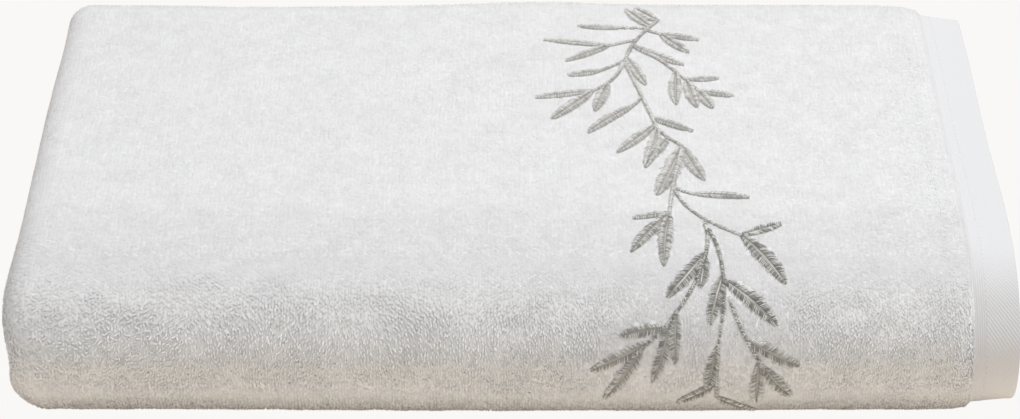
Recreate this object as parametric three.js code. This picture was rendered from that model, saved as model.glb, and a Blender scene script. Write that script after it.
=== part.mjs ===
// A bath towel in white terry, folded for the shelf.
// It is one sheet of cloth. It was folded end to end into quarters, and that strip of four layers
// was then folded side to side into thirds, so twelve layers lie on each other.
// Millimetres, +Z up. The origin is the middle of the footprint on the surface it rests on.
// The long round fold faces -Y, the folded end faces -X, and the hemmed ends face +X.
import * as THREE from "three";

// The towel laid flat.
const TOWEL_LENGTH = 1372;
const TOWEL_WIDTH = 686;
const TERRY = 4.4; // cloth and pile
const END_HEM = 2; // flat cloth turned under at the two short ends
const END_HEM_WIDTH = 16;
const SIDE_HEM = 2.3; // the narrow hems along the two long sides
const SIDE_HEM_WIDTH = 8;
const HEM_STEP = 1.4; // the pile stops within this width
const PILE_SHOULDER = 3.7; // the pile leans over and thins beside a hem
const SHOULDER_WIDTH = 7;

// The folded towel.
const FOLDED_WIDTH = 352;
const FOLDED_DEPTH = 250; // from the front fold to the back fold
const LAYER_GAP = 0.4; // between two layers that lie on each other
const INNER_HEM_SETBACK = 8; // the second end stops this far inside the first one
const HEM_SINK = 1.6; // the outer hem sinks this far over the thin hem below it
const HEM_SINK_WIDTH = END_HEM_WIDTH + SHOULDER_WIDTH; // softly, from where its pile thins
const FREE_SIDE_SETBACK = 7; // the bottom third stops this far inside the back fold
const CREASE_GAP = 0.1; // half the gap in the sharp crease of the back fold

// Sizes that follow from those.
const LAYER_PITCH = TERRY + LAYER_GAP;
const LAYERS_IN_STRIP = 4;
const STRIP = LAYERS_IN_STRIP * LAYER_PITCH; // thickness of the quarter-folded strip
const HEIGHT = 3 * STRIP - LAYER_GAP;
const RIGHT = FOLDED_WIDTH / 2;
const FRONT = -FOLDED_DEPTH / 2;
const BACK = FOLDED_DEPTH / 2;

// The rounds of the folds, as half-widths of ellipses. The long front fold slopes down far from
// the top and turns in short under itself, because the cloth's weight rests on its lower half.
const END_FOLD_REACH = 10.5;
const TIGHT_FOLD_REACH = 4.6;
const FRONT_FOLD_TOP_REACH = 48;
const FRONT_FOLD_BOTTOM_REACH = 25;
const FRONT_FOLD_WALL = 19; // the strip is a little pressed together at the tip of the front fold
const BACK_FOLD_REACH = 21;

// The soft unevenness of the folded stack: each row lifts the cloth round one place.
// Columns: x and y of the middle, spread along x and y, and rise at the top of the stack.
const SWELLS = [
  { x: 11, y: 105, spreadX: 30, spreadY: 55, rise: 1.4 },
  { x: -90, y: 105, spreadX: 48, spreadY: 60, rise: -0.9 },
  { x: -60, y: -20, spreadX: 60, spreadY: 50, rise: 0.8 },
  { x: 70, y: -35, spreadX: 55, spreadY: 45, rise: -0.7 },
  { x: 168, y: 22, spreadX: 28, spreadY: 40, rise: -1.1 },
  { x: 168, y: -52, spreadX: 28, spreadY: 34, rise: 0.9 },
  { x: 176, y: 108, spreadX: 22, spreadY: 30, rise: -2.4 },
];
// The same for the two ends: each row pushes one of them out round one place.
// Columns: side (-1 the folded end, 1 the hemmed one), y and z of the middle, spread along y and z,
// and push.
const END_BULGES = [
  { side: -1, y: 90, z: 48, spreadY: 40, spreadZ: 18, push: -1.1 },
  { side: -1, y: -108, z: 42, spreadY: 26, spreadZ: 11, push: 2.3 },
  { side: -1, y: -112, z: 28, spreadY: 24, spreadZ: 7, push: -0.6 },
  { side: -1, y: -112, z: 17, spreadY: 24, spreadZ: 6, push: 0.3 },
  { side: -1, y: -112, z: 3, spreadY: 24, spreadZ: 7, push: -2.6 },
  { side: 1, y: -62, z: 44, spreadY: 46, spreadZ: 30, push: 0.7 },
];
// And for the long front fold, whose middle sags forward over its lower half.
// Columns: x and z of the middle, spread along x and z, and push.
const FRONT_BULGES = [{ x: 20, z: 8, spreadX: 110, spreadZ: 24, push: 2.2 }];
const BULGE_DEPTH = 70; // how far in from the end or the front a push dies out

// How finely the folds are cut.
const END_FOLD_STEPS = 9;
const TIGHT_FOLD_STEPS = 6;
const FRONT_FOLD_STEPS = 6; // for each of its two halves
const BACK_FOLD_STEPS = 9;
const RUN_X = [-120, -75, -30, 15, 60, 105, 141]; // stations along each layer
const RUN_Y = [-62, -24, 12, 52]; // stations along each third

const bell = (offset, spread) => Math.exp(-((offset / spread) ** 2));
const between = (low, high, share) => low + (high - low) * share;
const clamped = (value) => Math.min(1, Math.max(0, value));
const softStep = (value) => clamped(value) ** 2 * (3 - 2 * clamped(value));

// The points of a half turn between its two ends. place takes how far out a point is, 0 to 1, and
// how far along the turn, from 1 at its start to -1 at its end.
function halfTurn(steps, place) {
  const points = [];
  for (let i = 1; i < steps; i++) {
    const angle = (Math.PI * i) / steps;
    points.push(place(Math.sin(angle), Math.cos(angle)));
  }
  return points;
}

function pathLength(points) {
  let sum = 0;
  for (let i = 1; i < points.length; i++) {
    sum += Math.hypot(points[i][0] - points[i - 1][0], points[i][1] - points[i - 1][1]);
  }
  return sum;
}

// Thickness of a layer that ends in a hem at +X, at a place along x.
function endThickness(x, edge) {
  const hemStart = edge - END_HEM_WIDTH;
  if (x > hemStart) return END_HEM;
  const share = clamped((hemStart - x) / SHOULDER_WIDTH);
  return between(PILE_SHOULDER, TERRY, share);
}

// The middle line of the quarter-folded sheet, seen along the strip: x across the folded towel and
// w up through the strip from its inner side. It runs from the outer hem round the folded end to
// the inner side, back to the tight fold at +X, and so on to the inner hem. Each point also has
// the cloth's thickness there, measured straight up where the cloth lies level.
function stripSection() {
  const outerEdge = RIGHT;
  const innerEdge = RIGHT - INNER_HEM_SETBACK;
  const foldStart = -RIGHT + END_FOLD_REACH;
  const centre = STRIP / 2;
  const tight = LAYER_PITCH / 2;
  const wide = 3 * tight;
  const hemStep = HEM_STEP / 2;

  const hemStations = (edge) => {
    const start = edge - END_HEM_WIDTH;
    return [start - SHOULDER_WIDTH, start - hemStep, start + hemStep, edge];
  };
  // The inner hemmed layer rests on the two below it. The outer one bridges the thin inner hem and
  // only sinks a little over it, so that the cloth on top stays smooth.
  const innerMiddle = (x) => 2 * LAYER_PITCH + LAYER_GAP / 2 + endThickness(x, innerEdge) / 2;
  const sunk = (x) => HEM_SINK * softStep((x - outerEdge) / HEM_SINK_WIDTH + 1);
  const outerMiddle = (x) =>
    3 * LAYER_PITCH + LAYER_GAP / 2 - sunk(x) + endThickness(x, outerEdge) / 2;
  const hemmed = (stations, edge, middle) =>
    stations.map((x) => ({ x, w: middle(x), thick: endThickness(x, edge), level: true }));

  const lastRun = RUN_X[RUN_X.length - 1];
  const both = [...hemStations(innerEdge), ...hemStations(outerEdge)];
  const outerX = [...new Set(both)].filter((x) => x > lastRun).sort((a, b) => a - b);
  const innerX = hemStations(innerEdge).filter((x) => x > lastRun);
  const outerRun = hemmed([foldStart, ...RUN_X, ...outerX], outerEdge, outerMiddle).reverse();
  const innerRun = hemmed([foldStart, ...RUN_X, ...innerX], innerEdge, innerMiddle);

  const plain = (x, w) => ({ x, w, thick: TERRY, level: true });
  const bent = (x, w) => ({ x, w, thick: TERRY, level: false });
  const endFold = (radius, reach, steps) =>
    halfTurn(steps, (out, along) => bent(foldStart - out * reach, centre + along * radius));
  const outerFold = endFold(wide, END_FOLD_REACH - TERRY / 2, END_FOLD_STEPS);
  const innerFold = endFold(tight, TIGHT_FOLD_REACH - TERRY / 2, TIGHT_FOLD_STEPS).reverse();

  // The tight fold at +X goes where the towel's length runs out.
  const length = (points) => pathLength(points.map((p) => [p.x, p.w]));
  const lowest = LAYER_PITCH / 2;
  const tightFold = (x) =>
    halfTurn(TIGHT_FOLD_STEPS, (out, along) =>
      bent(x + out * (TIGHT_FOLD_REACH - TERRY / 2), lowest + tight - along * tight),
    );
  const fixed =
    length([...outerRun, ...outerFold, plain(foldStart, lowest)]) +
    length([plain(foldStart, lowest + LAYER_PITCH), ...innerFold, ...innerRun]) +
    length([plain(0, lowest), ...tightFold(0), plain(0, lowest + LAYER_PITCH)]);
  const tightX = foldStart + (TOWEL_LENGTH - fixed) / 2;

  const plainRun = (w) => [foldStart, ...RUN_X, tightX].map((x) => plain(x, w));
  return [
    ...outerRun,
    ...outerFold,
    ...plainRun(lowest),
    ...tightFold(tightX),
    ...plainRun(lowest + LAYER_PITCH).reverse(),
    ...innerFold,
    ...innerRun,
  ];
}

// The strip's way through the thirds, seen from its end. Each station has a point on the strip's
// outer side and one on its inner side, as [y, z], and whether it lies in a side hem. It runs from
// the free side inside the stack, back and round the back fold, forward over the top, round the
// front fold and back along the bottom to the other free side.
function stripWay() {
  const floor = -LAYER_GAP / 2;
  const levels = [0, 1, 2, 3].map((n) => floor + n * STRIP);
  const backTurn = BACK - BACK_FOLD_REACH;
  const frontTop = FRONT + FRONT_FOLD_TOP_REACH;
  const frontBottom = FRONT + FRONT_FOLD_BOTTOM_REACH;
  const noseZ = (levels[0] + levels[3]) / 2;
  const noseRise = 1.5 * STRIP;

  const station = (outerY, outerZ, innerY, innerZ) => ({
    outer: [outerY, outerZ],
    inner: [innerY, innerZ],
  });
  const flat = (ys, outerZ, innerZ) => ys.map((y) => station(y, outerZ, y, innerZ));
  const middle = (s) => [(s.outer[0] + s.inner[0]) / 2, (s.outer[1] + s.inner[1]) / 2];
  const length = (stations) => pathLength(stations.map(middle));

  const backFold = halfTurn(BACK_FOLD_STEPS, (out, along) =>
    station(
      backTurn + out * BACK_FOLD_REACH,
      levels[2] - along * STRIP,
      backTurn + out * CREASE_GAP,
      levels[2] - along * CREASE_GAP,
    ),
  );
  const quarter = (fromY, rise, steps) => {
    const points = [];
    for (let i = 1; i < steps; i++) {
      const angle = ((Math.PI / 2) * i) / steps;
      const out = Math.sin(angle);
      const up = Math.cos(angle) * rise;
      const outerY = between(fromY, FRONT, out);
      const innerY = between(fromY, FRONT + FRONT_FOLD_WALL, out);
      points.push(station(outerY, noseZ + up * noseRise, innerY, noseZ + (up * STRIP) / 2));
    }
    return points;
  };
  const tip = station(FRONT, noseZ, FRONT + FRONT_FOLD_WALL, noseZ);
  const sideHem = (edge, inward) => [
    edge,
    edge + inward * SIDE_HEM_WIDTH,
    edge + inward * (SIDE_HEM_WIDTH + HEM_STEP),
  ];

  const top = flat([backTurn, ...[...RUN_Y].reverse(), frontTop], levels[3], levels[2] + CREASE_GAP);
  const front = [
    ...quarter(frontTop, 1, FRONT_FOLD_STEPS),
    tip,
    ...quarter(frontBottom, -1, FRONT_FOLD_STEPS).reverse(),
  ];
  const bottomEdge = BACK - FREE_SIDE_SETBACK;
  const bottomYs = [frontBottom, ...RUN_Y, backTurn, ...sideHem(bottomEdge, -1).reverse()];
  const bottom = flat(bottomYs, levels[0], levels[1]);

  // The third inside the stack takes what is left of the towel's width.
  const turnStart = flat([backTurn], levels[1], levels[2]);
  const rest = length([...turnStart, ...backFold, ...top, ...front, ...bottom]);
  const hiddenEdge = backTurn - (TOWEL_WIDTH - rest);
  const hiddenYs = [...sideHem(hiddenEdge, 1), ...RUN_Y, backTurn];
  const hidden = flat(hiddenYs, levels[1], levels[2] - CREASE_GAP);

  const way = [...hidden, ...backFold, ...top, ...front, ...bottom];
  const hems = [0, 1, way.length - 2, way.length - 1];
  return way.map((s, i) => ({ ...s, hemmed: hems.includes(i) }));
}

// Lifts and pushes a point by the unevenness of the stack. The face on the floor stays flat.
function uneven([x, y, z]) {
  const height = clamped(z / HEIGHT);
  const lift = SWELLS.reduce(
    (sum, s) => sum + s.rise * bell(x - s.x, s.spreadX) * bell(y - s.y, s.spreadY),
    0,
  );
  const nearEnd = (side) => clamped(1 - (RIGHT - side * x) / BULGE_DEPTH) ** 2;
  const endPush = END_BULGES.reduce(
    (sum, b) =>
      sum + b.side * b.push * nearEnd(b.side) * bell(y - b.y, b.spreadY) * bell(z - b.z, b.spreadZ),
    0,
  );
  const frontPush = FRONT_BULGES.reduce(
    (sum, b) => sum + b.push * bell(x - b.x, b.spreadX) * bell(z - b.z, b.spreadZ),
    0,
  );
  const nearFront = clamped(1 - (y - FRONT) / BULGE_DEPTH) ** 2;
  return [x + endPush, y - frontPush * nearFront, z + lift * height];
}

// The two faces of the sheet at one station of the way, as the closed outline of its section.
function outlineAt(section, s) {
  const faces = [[], []];
  section.forEach((point, i) => {
    const before = section[Math.max(0, i - 1)];
    const after = section[Math.min(section.length - 1, i + 1)];
    const rise = point.level ? 0 : after.w - before.w;
    const run = Math.hypot(after.x - before.x, rise);
    const normal = [-rise / run, (after.x - before.x) / run];
    const half = (s.hemmed ? Math.min(point.thick, SIDE_HEM) : point.thick) / 2;
    [half, -half].forEach((offset, face) => {
      const x = point.x + normal[0] * offset;
      const share = (point.w + normal[1] * offset) / STRIP;
      const y = between(s.inner[0], s.outer[0], share);
      const z = between(s.inner[1], s.outer[1], share);
      faces[face].push(uneven([x, y, z]));
    });
  });
  return [...faces[0], ...faces[1].reverse()];
}

// One closed solid: the outline at every station, joined to the next, with both free sides capped.
function towelGeometry() {
  const section = stripSection();
  const outlines = stripWay().map((s) => outlineAt(section, s));
  const around = outlines[0].length;
  const positions = outlines.flat(2);
  const index = [];
  const quad = (a, b, c, d) => index.push(a, b, c, a, c, d);
  for (let j = 1; j < outlines.length; j++) {
    for (let i = 0; i < around; i++) {
      const next = (i + 1) % around;
      quad((j - 1) * around + i, j * around + i, j * around + next, (j - 1) * around + next);
    }
  }
  const lastRow = (outlines.length - 1) * around;
  for (let i = 0; i < around / 2 - 1; i++) {
    const across = around - 1 - i;
    quad(i, i + 1, across - 1, across);
    quad(lastRow + i, lastRow + across, lastRow + across - 1, lastRow + i + 1);
  }
  const geometry = new THREE.BufferGeometry();
  geometry.setAttribute("position", new THREE.Float32BufferAttribute(positions, 3));
  geometry.setIndex(index);
  geometry.computeBoundingBox();
  const box = geometry.boundingBox;
  geometry.translate(-(box.min.x + box.max.x) / 2, -(box.min.y + box.max.y) / 2, -box.min.z);
  geometry.computeVertexNormals();
  return geometry;
}

const cotton = new THREE.MeshStandardMaterial({ color: 0xf1f0ee, roughness: 0.95, metalness: 0 });

const towel = new THREE.Mesh(towelGeometry(), cotton);
towel.name = "towel";

const group = new THREE.Group();
group.add(towel);

export default group;
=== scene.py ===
# %% [markdown]
# Bath towel in white terry, folded for the shelf.
#
# The towel is one sheet of cloth, folded end to end into quarters and then side to side into
# thirds. The lesson goes the way a mill and a housekeeper do: weave the flat sheet, raise its
# loops, hem it, embroider it, and fold everything at once with one function. Whatever is laid on
# the flat towel then follows its folds, and nothing has to be fitted afterwards.

import math

import bmesh
import bpy
import numpy as np
from mathutils import Matrix, Vector


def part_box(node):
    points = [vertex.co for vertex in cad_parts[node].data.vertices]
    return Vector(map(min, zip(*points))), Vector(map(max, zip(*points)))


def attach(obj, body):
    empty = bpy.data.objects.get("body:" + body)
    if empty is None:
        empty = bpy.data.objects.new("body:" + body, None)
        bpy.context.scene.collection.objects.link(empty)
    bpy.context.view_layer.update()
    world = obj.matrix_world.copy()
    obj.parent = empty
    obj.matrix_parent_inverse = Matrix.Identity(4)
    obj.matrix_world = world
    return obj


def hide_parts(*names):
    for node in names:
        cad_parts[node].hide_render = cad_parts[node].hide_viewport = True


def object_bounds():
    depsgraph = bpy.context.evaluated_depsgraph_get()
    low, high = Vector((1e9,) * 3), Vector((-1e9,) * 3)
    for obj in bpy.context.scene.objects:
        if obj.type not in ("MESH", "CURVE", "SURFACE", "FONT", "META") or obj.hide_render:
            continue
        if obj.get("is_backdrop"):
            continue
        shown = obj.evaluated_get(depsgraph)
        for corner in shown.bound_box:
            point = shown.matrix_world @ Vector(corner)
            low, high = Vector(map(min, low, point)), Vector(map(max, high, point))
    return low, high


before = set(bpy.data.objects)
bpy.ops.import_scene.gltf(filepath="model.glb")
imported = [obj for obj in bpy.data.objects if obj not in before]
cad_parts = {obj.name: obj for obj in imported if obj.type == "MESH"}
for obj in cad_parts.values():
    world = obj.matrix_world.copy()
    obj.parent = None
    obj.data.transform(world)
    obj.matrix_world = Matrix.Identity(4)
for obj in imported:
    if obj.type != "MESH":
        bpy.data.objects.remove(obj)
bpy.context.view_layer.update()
mm = 0.001

# %% [markdown]
# The camera comes first, so that every later choice of detail can be judged from it. It stands in
# front of the long round fold and looks down on the stack through a long lens, which keeps the
# sides of the towel nearly parallel. Its distance and lens are kept as real sizes, and it is
# turned by pointing its own -Z axis at a point in the middle of the stack.

# %% Place the camera
VIEW_ELEVATION = math.radians(28)
VIEW_DISTANCE = 1.5146
VIEW_LENS = 142.96
AIM = Vector((-0.0002, 0, 0.02397))

camera_data = bpy.data.cameras.new("camera")
camera_data.lens = VIEW_LENS
camera = bpy.data.objects.new("camera", camera_data)
bpy.context.scene.collection.objects.link(camera)
bpy.context.scene.camera = camera
towards_camera = Vector((0, -math.cos(VIEW_ELEVATION), math.sin(VIEW_ELEVATION)))
camera.location = AIM + towards_camera * VIEW_DISTANCE
camera.rotation_euler = (-towards_camera).to_track_quat("-Z", "Y").to_euler()
print("camera at", [round(c, 3) for c in camera.location])

# %% [markdown]
# A white towel is hard to light: strong lamps burn its loops out, and a lamp in front flattens
# them. Here a pale sky lights it from everywhere, and one wide soft box above and behind draws the
# rounds of the folds. A second one, low in front and far weaker, only picks out the open loops of
# the front fold. The floor looks pale to the camera, but the light that bounces off it is weaker
# and a little warm, which gives the lower half of the front fold its warm grey.

# %% Floor, sky and soft boxes
FLOOR_SIZE = 6.0
PALE = (0.947, 0.939, 0.922, 1)
BOUNCE = (0.94, 0.82, 0.67, 1)
SKY = (0.965, 0.97, 1.0, 1)
SKY_STRENGTH = 0.67
SOFT_BOXES = [
    dict(name="soft_box_above", place=(0.45, 0.25, 1.7), size=0.9, power=18.0),
    dict(name="soft_box_front", place=(0.2, -1.6, 0.45), size=0.8, power=2.15),
]


def add(tree, kind, inputs=None, **settings):
    """A node with its settings and inputs. An input is a value, or a socket to link from."""
    node = tree.nodes.new("ShaderNode" + kind)
    for name, value in settings.items():
        setattr(node, name, value)
    for key, value in (inputs or {}).items():
        if isinstance(value, bpy.types.NodeSocket):
            tree.links.new(value, node.inputs[key])
        else:
            node.inputs[key].default_value = value
    return node


def new_material(name):
    """A material with an empty node tree but for its output."""
    material = bpy.data.materials.new(name)
    material.use_nodes = True
    material.node_tree.nodes.clear()
    output = material.node_tree.nodes.new("ShaderNodeOutputMaterial")
    return material, material.node_tree, output


def end_with(tree, output, seen, lighting):
    """Ends a tree in two shaders: one that the camera sees, one that lights everything else."""
    by_camera = add(tree, "LightPath").outputs["Is Camera Ray"]
    mix = add(tree, "MixShader", {"Fac": by_camera, 1: lighting, 2: seen})
    tree.links.new(mix.outputs["Shader"], output.inputs["Surface"])


def floor_material():
    """Pale where the camera looks at it, warm and darker for the light that bounces off it."""
    material, tree, output = new_material("pale_floor")
    seen = add(tree, "Emission", {"Color": PALE}).outputs["Emission"]
    bounced = add(tree, "BsdfDiffuse", {"Color": BOUNCE}).outputs["BSDF"]
    end_with(tree, output, seen, bounced)
    return material


def new_object(name, mesh, material=None):
    """An object for a finished mesh, linked to the scene."""
    piece = bpy.data.objects.new(name, mesh)
    bpy.context.scene.collection.objects.link(piece)
    if material:
        mesh.materials.append(material)
    return piece


def soft_box(name, place, size, power):
    """A square area lamp that looks at the middle of the stack."""
    lamp = bpy.data.lights.new(name, "AREA")
    lamp.size = size
    lamp.energy = power
    holder = bpy.data.objects.new(name, lamp)
    bpy.context.scene.collection.objects.link(holder)
    holder.location = place
    holder.rotation_euler = (AIM - Vector(place)).to_track_quat("-Z", "Y").to_euler()


bm = bmesh.new()
bmesh.ops.create_grid(bm, x_segments=1, y_segments=1, size=FLOOR_SIZE / 2)
floor_mesh = bpy.data.meshes.new("floor")
bm.to_mesh(floor_mesh)
bm.free()
floor = new_object("floor", floor_mesh, floor_material())
floor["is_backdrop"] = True

world = bpy.data.worlds.new("sky")
bpy.context.scene.world = world
world.use_nodes = True
world_tree = world.node_tree
sky = world_tree.nodes["Background"]
sky.inputs["Color"].default_value = SKY
sky.inputs["Strength"].default_value = SKY_STRENGTH
seen_sky = add(world_tree, "Background", {"Color": PALE}).outputs["Background"]
end_with(world_tree, world_tree.nodes["World Output"], seen_sky, sky.outputs["Background"])

for row in SOFT_BOXES:
    soft_box(**row)
bpy.context.scene.view_settings.view_transform = "Standard"
print("lit by the sky and", len(SOFT_BOXES), "soft boxes; the floor is", FLOOR_SIZE, "m wide")

# %% [markdown]
# These are the sizes of the real towel: the flat cloth, its hems, and the folded stack. They are
# the sizes that the frame's solid has, so the cloth made here lies in the space that the solid
# holds. Everything below is worked out from them.

# %% Sizes of the towel and of its folds
TOWEL_LENGTH = 1372 * mm
TOWEL_WIDTH = 686 * mm
TERRY = 4.4 * mm
END_HEM = 2 * mm
END_HEM_WIDTH = 16 * mm
SIDE_HEM = 2.3 * mm
SIDE_HEM_WIDTH = 8 * mm
HEM_STEP = 1.4 * mm
PILE_SHOULDER = 3.7 * mm
SHOULDER_WIDTH = 7 * mm

FOLDED_WIDTH = 352 * mm
FOLDED_DEPTH = 250 * mm
LAYER_GAP = 0.4 * mm
INNER_HEM_SETBACK = 8 * mm
HEM_SINK = 1.6 * mm
HEM_SINK_WIDTH = END_HEM_WIDTH + SHOULDER_WIDTH
FREE_SIDE_SETBACK = 7 * mm
CREASE_GAP = 0.1 * mm

LAYER_PITCH = TERRY + LAYER_GAP
STRIP = 4 * LAYER_PITCH
HEIGHT = 3 * STRIP - LAYER_GAP
RIGHT = FOLDED_WIDTH / 2
FRONT = -FOLDED_DEPTH / 2
BACK = FOLDED_DEPTH / 2

END_FOLD_REACH = 10.5 * mm
TIGHT_FOLD_REACH = 4.6 * mm
FRONT_FOLD_TOP_REACH = 48 * mm
FRONT_FOLD_BOTTOM_REACH = 25 * mm
FRONT_FOLD_WALL = 19 * mm
BACK_FOLD_REACH = 21 * mm
print("twelve layers make", round(HEIGHT / mm, 1), "mm")

# %% [markdown]
# Seen from its end, the quarter-folded strip is one line that runs back and forth four times. It
# could be drawn by hand as a curve, but its straight runs and half turns follow from the sizes
# above, so it is written as rows: a place along x, a height w inside the strip, and the direction
# in which the cloth's outer side faces. numpy's interp then answers where any point of the towel's
# length lies.

# %% The line of the cloth across the strip
FINE = 1 * mm  # spacing of the points that the lines are worked out from
TURN_STEPS = 60


def half_turn():
    """The sines and cosines of a half turn, without its two ends."""
    angle = np.pi * np.arange(1, TURN_STEPS) / TURN_STEPS
    return np.sin(angle), np.cos(angle)


def run(start, stop):
    """Evenly spaced places from start to stop, about FINE apart."""
    return np.linspace(start, stop, max(2, round(abs(stop - start) / FINE) + 1))


def end_thickness(x, edge):
    """Thickness of a layer that ends in a hem at the right, at the places x."""
    start = edge - END_HEM_WIDTH
    shoulder = np.clip((start - x) / SHOULDER_WIDTH, 0, 1)
    pile = PILE_SHOULDER + (TERRY - PILE_SHOULDER) * shoulder
    into_hem = np.clip((x - start) / HEM_STEP + 0.5, 0, 1)
    return pile + (END_HEM - pile) * into_hem


def soft_step(value, start, stop):
    """0 before start and 1 after stop, with a soft change between them."""
    share = np.clip((value - start) / (stop - start), 0, 1)
    return share * share * (3 - 2 * share)


OUTER_EDGE = RIGHT
INNER_EDGE = RIGHT - INNER_HEM_SETBACK
FOLD_START = -RIGHT + END_FOLD_REACH


def level_run(xs, w, facing, thick):
    """Rows of a level layer: x, w, the two parts of the outward direction, thickness."""
    ones = np.ones(len(xs))
    return np.column_stack([xs, w * ones, 0 * ones, facing * ones, thick * ones])


def turn_rows(x, centre, radius, reach, side, outward):
    """Rows of a half turn at x that bulges to side, from its top to its foot."""
    out, along = half_turn()
    across = np.column_stack([side * out / reach, along / radius])
    across /= np.linalg.norm(across, axis=1)[:, None]
    line = np.column_stack([x + side * out * reach, centre + along * radius])
    return np.column_stack([line, outward * across, np.full(len(out), TERRY)])


def path_length(points):
    """Distance from the first point to each of them, along the line."""
    steps = np.linalg.norm(np.diff(points, axis=0), axis=1)
    return np.concatenate([[0], np.cumsum(steps)])


def section_rows(tight_x):
    """The whole line, from the outer hem to the inner one, for a tight fold at tight_x."""
    outer_x = run(OUTER_EDGE, FOLD_START)
    inner_x = run(FOLD_START, INNER_EDGE)
    # The outer layer bridges the thin inner hem and only sinks a little over it.
    sunk = HEM_SINK * soft_step(outer_x, OUTER_EDGE - HEM_SINK_WIDTH, OUTER_EDGE)
    below = 3 * LAYER_PITCH + LAYER_GAP / 2 - sunk
    outer_thick = end_thickness(outer_x, OUTER_EDGE)
    inner_thick = end_thickness(inner_x, INNER_EDGE)
    lowest = LAYER_PITCH / 2
    parts = {
        "outer run": level_run(outer_x, below + outer_thick / 2, 1, outer_thick),
        "end fold": turn_rows(
            FOLD_START, STRIP / 2, 1.5 * LAYER_PITCH, END_FOLD_REACH - TERRY / 2, -1, 1
        ),
        "lowest run": level_run(run(FOLD_START, tight_x), lowest, -1, TERRY),
        "tight fold": turn_rows(
            tight_x, LAYER_PITCH, LAYER_PITCH / 2, TIGHT_FOLD_REACH - TERRY / 2, 1, 1
        )[::-1],
        "second run": level_run(run(tight_x, FOLD_START), lowest + LAYER_PITCH, 1, TERRY),
        "inner fold": turn_rows(
            FOLD_START, STRIP / 2, LAYER_PITCH / 2, TIGHT_FOLD_REACH - TERRY / 2, -1, -1
        )[::-1],
        "inner run": level_run(
            inner_x, 2 * LAYER_PITCH + LAYER_GAP / 2 + inner_thick / 2, -1, inner_thick
        ),
    }
    return parts


# The tight fold at the right goes where the towel's length runs out.
guess = np.vstack(list(section_rows(0).values()))
spare = TOWEL_LENGTH - path_length(guess[:, :2])[-1]
SECTION_PARTS = section_rows(spare / 2)
SECTION = np.vstack(list(SECTION_PARTS.values()))
SECTION_ALONG = path_length(SECTION[:, :2])


def part_span(parts, measure, name):
    """Where the named part of a line begins and ends, by a measure taken along that line."""
    names = list(parts)
    before = sum(len(parts[n]) for n in names[: names.index(name)])
    return measure[before], measure[before + len(parts[name]) - 1]


print("length of the line:", round(SECTION_ALONG[-1] / mm, 1), "mm of", TOWEL_LENGTH / mm)
for name in SECTION_PARTS:
    print(" ", name, [round(a / mm, 1) for a in part_span(SECTION_PARTS, SECTION_ALONG, name)])

# %% [markdown]
# The strip itself is then folded into thirds. Each row of this second line has a point on the
# strip's inner side and one on its outer side, as y and z, and every layer lies between them at
# its own share of the strip's thickness. The front fold is two quarter rounds of unlike reach,
# because the cloth slopes down far from the top and turns in short under its own weight.

# %% The way of the strip through the thirds
FLOOR_LEVEL = -LAYER_GAP / 2
LEVELS = [FLOOR_LEVEL + n * STRIP for n in range(4)]
BACK_TURN = BACK - BACK_FOLD_REACH
FRONT_TOP = FRONT + FRONT_FOLD_TOP_REACH
FRONT_BOTTOM = FRONT + FRONT_FOLD_BOTTOM_REACH
NOSE_Z = (LEVELS[0] + LEVELS[3]) / 2


def flat_way(start, stop, outer_z, inner_z):
    """Rows of a level third: outer y and z, inner y and z."""
    ys = run(start, stop)
    return np.column_stack([ys, outer_z + 0 * ys, ys, inner_z + 0 * ys])


def back_fold_way():
    """The half turn at the back, from the third inside the stack to the top one."""
    out, along = half_turn()
    return np.column_stack([
        BACK_TURN + out * BACK_FOLD_REACH,
        LEVELS[2] - along * STRIP,
        BACK_TURN + out * CREASE_GAP,
        LEVELS[2] - along * CREASE_GAP,
    ])


def front_quarter_way(from_y, rise):
    """A quarter round of the front fold, from the level cloth to its tip."""
    angle = np.linspace(0, np.pi / 2, TURN_STEPS)
    out, up = np.sin(angle), np.cos(angle) * rise
    return np.column_stack([
        from_y + (FRONT - from_y) * out,
        NOSE_Z + up * 1.5 * STRIP,
        from_y + (FRONT + FRONT_FOLD_WALL - from_y) * out,
        NOSE_Z + up * STRIP / 2,
    ])


def way_length(rows):
    """Distance along the middle of the strip."""
    return path_length((rows[:, :2] + rows[:, 2:]) / 2)


way_parts = {
    "back fold": back_fold_way(),
    "top": flat_way(BACK_TURN, FRONT_TOP, LEVELS[3], LEVELS[2] + CREASE_GAP),
    "front slope": front_quarter_way(FRONT_TOP, 1)[1:],
    "front foot": front_quarter_way(FRONT_BOTTOM, -1)[::-1][1:],
    "bottom": flat_way(FRONT_BOTTOM, BACK - FREE_SIDE_SETBACK, LEVELS[0], LEVELS[1])[1:],
}
hidden_end = flat_way(BACK_TURN, BACK_TURN, LEVELS[1], LEVELS[2])[:1]
shown_length = way_length(np.vstack([hidden_end, *way_parts.values()]))[-1]
HIDDEN_EDGE = BACK_TURN - (TOWEL_WIDTH - shown_length)
hidden_way = flat_way(HIDDEN_EDGE, BACK_TURN, LEVELS[1], LEVELS[2] - CREASE_GAP)
WAY_PARTS = {"hidden": hidden_way, **way_parts}
WAY = np.vstack(list(WAY_PARTS.values()))
WAY_ALONG = way_length(WAY)
print("width of the way:", round(WAY_ALONG[-1] / mm, 1), "mm of", TOWEL_WIDTH / mm)
for name in WAY_PARTS:
    print(" ", name, [round(a / mm, 1) for a in part_span(WAY_PARTS, WAY_ALONG, name)])
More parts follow.
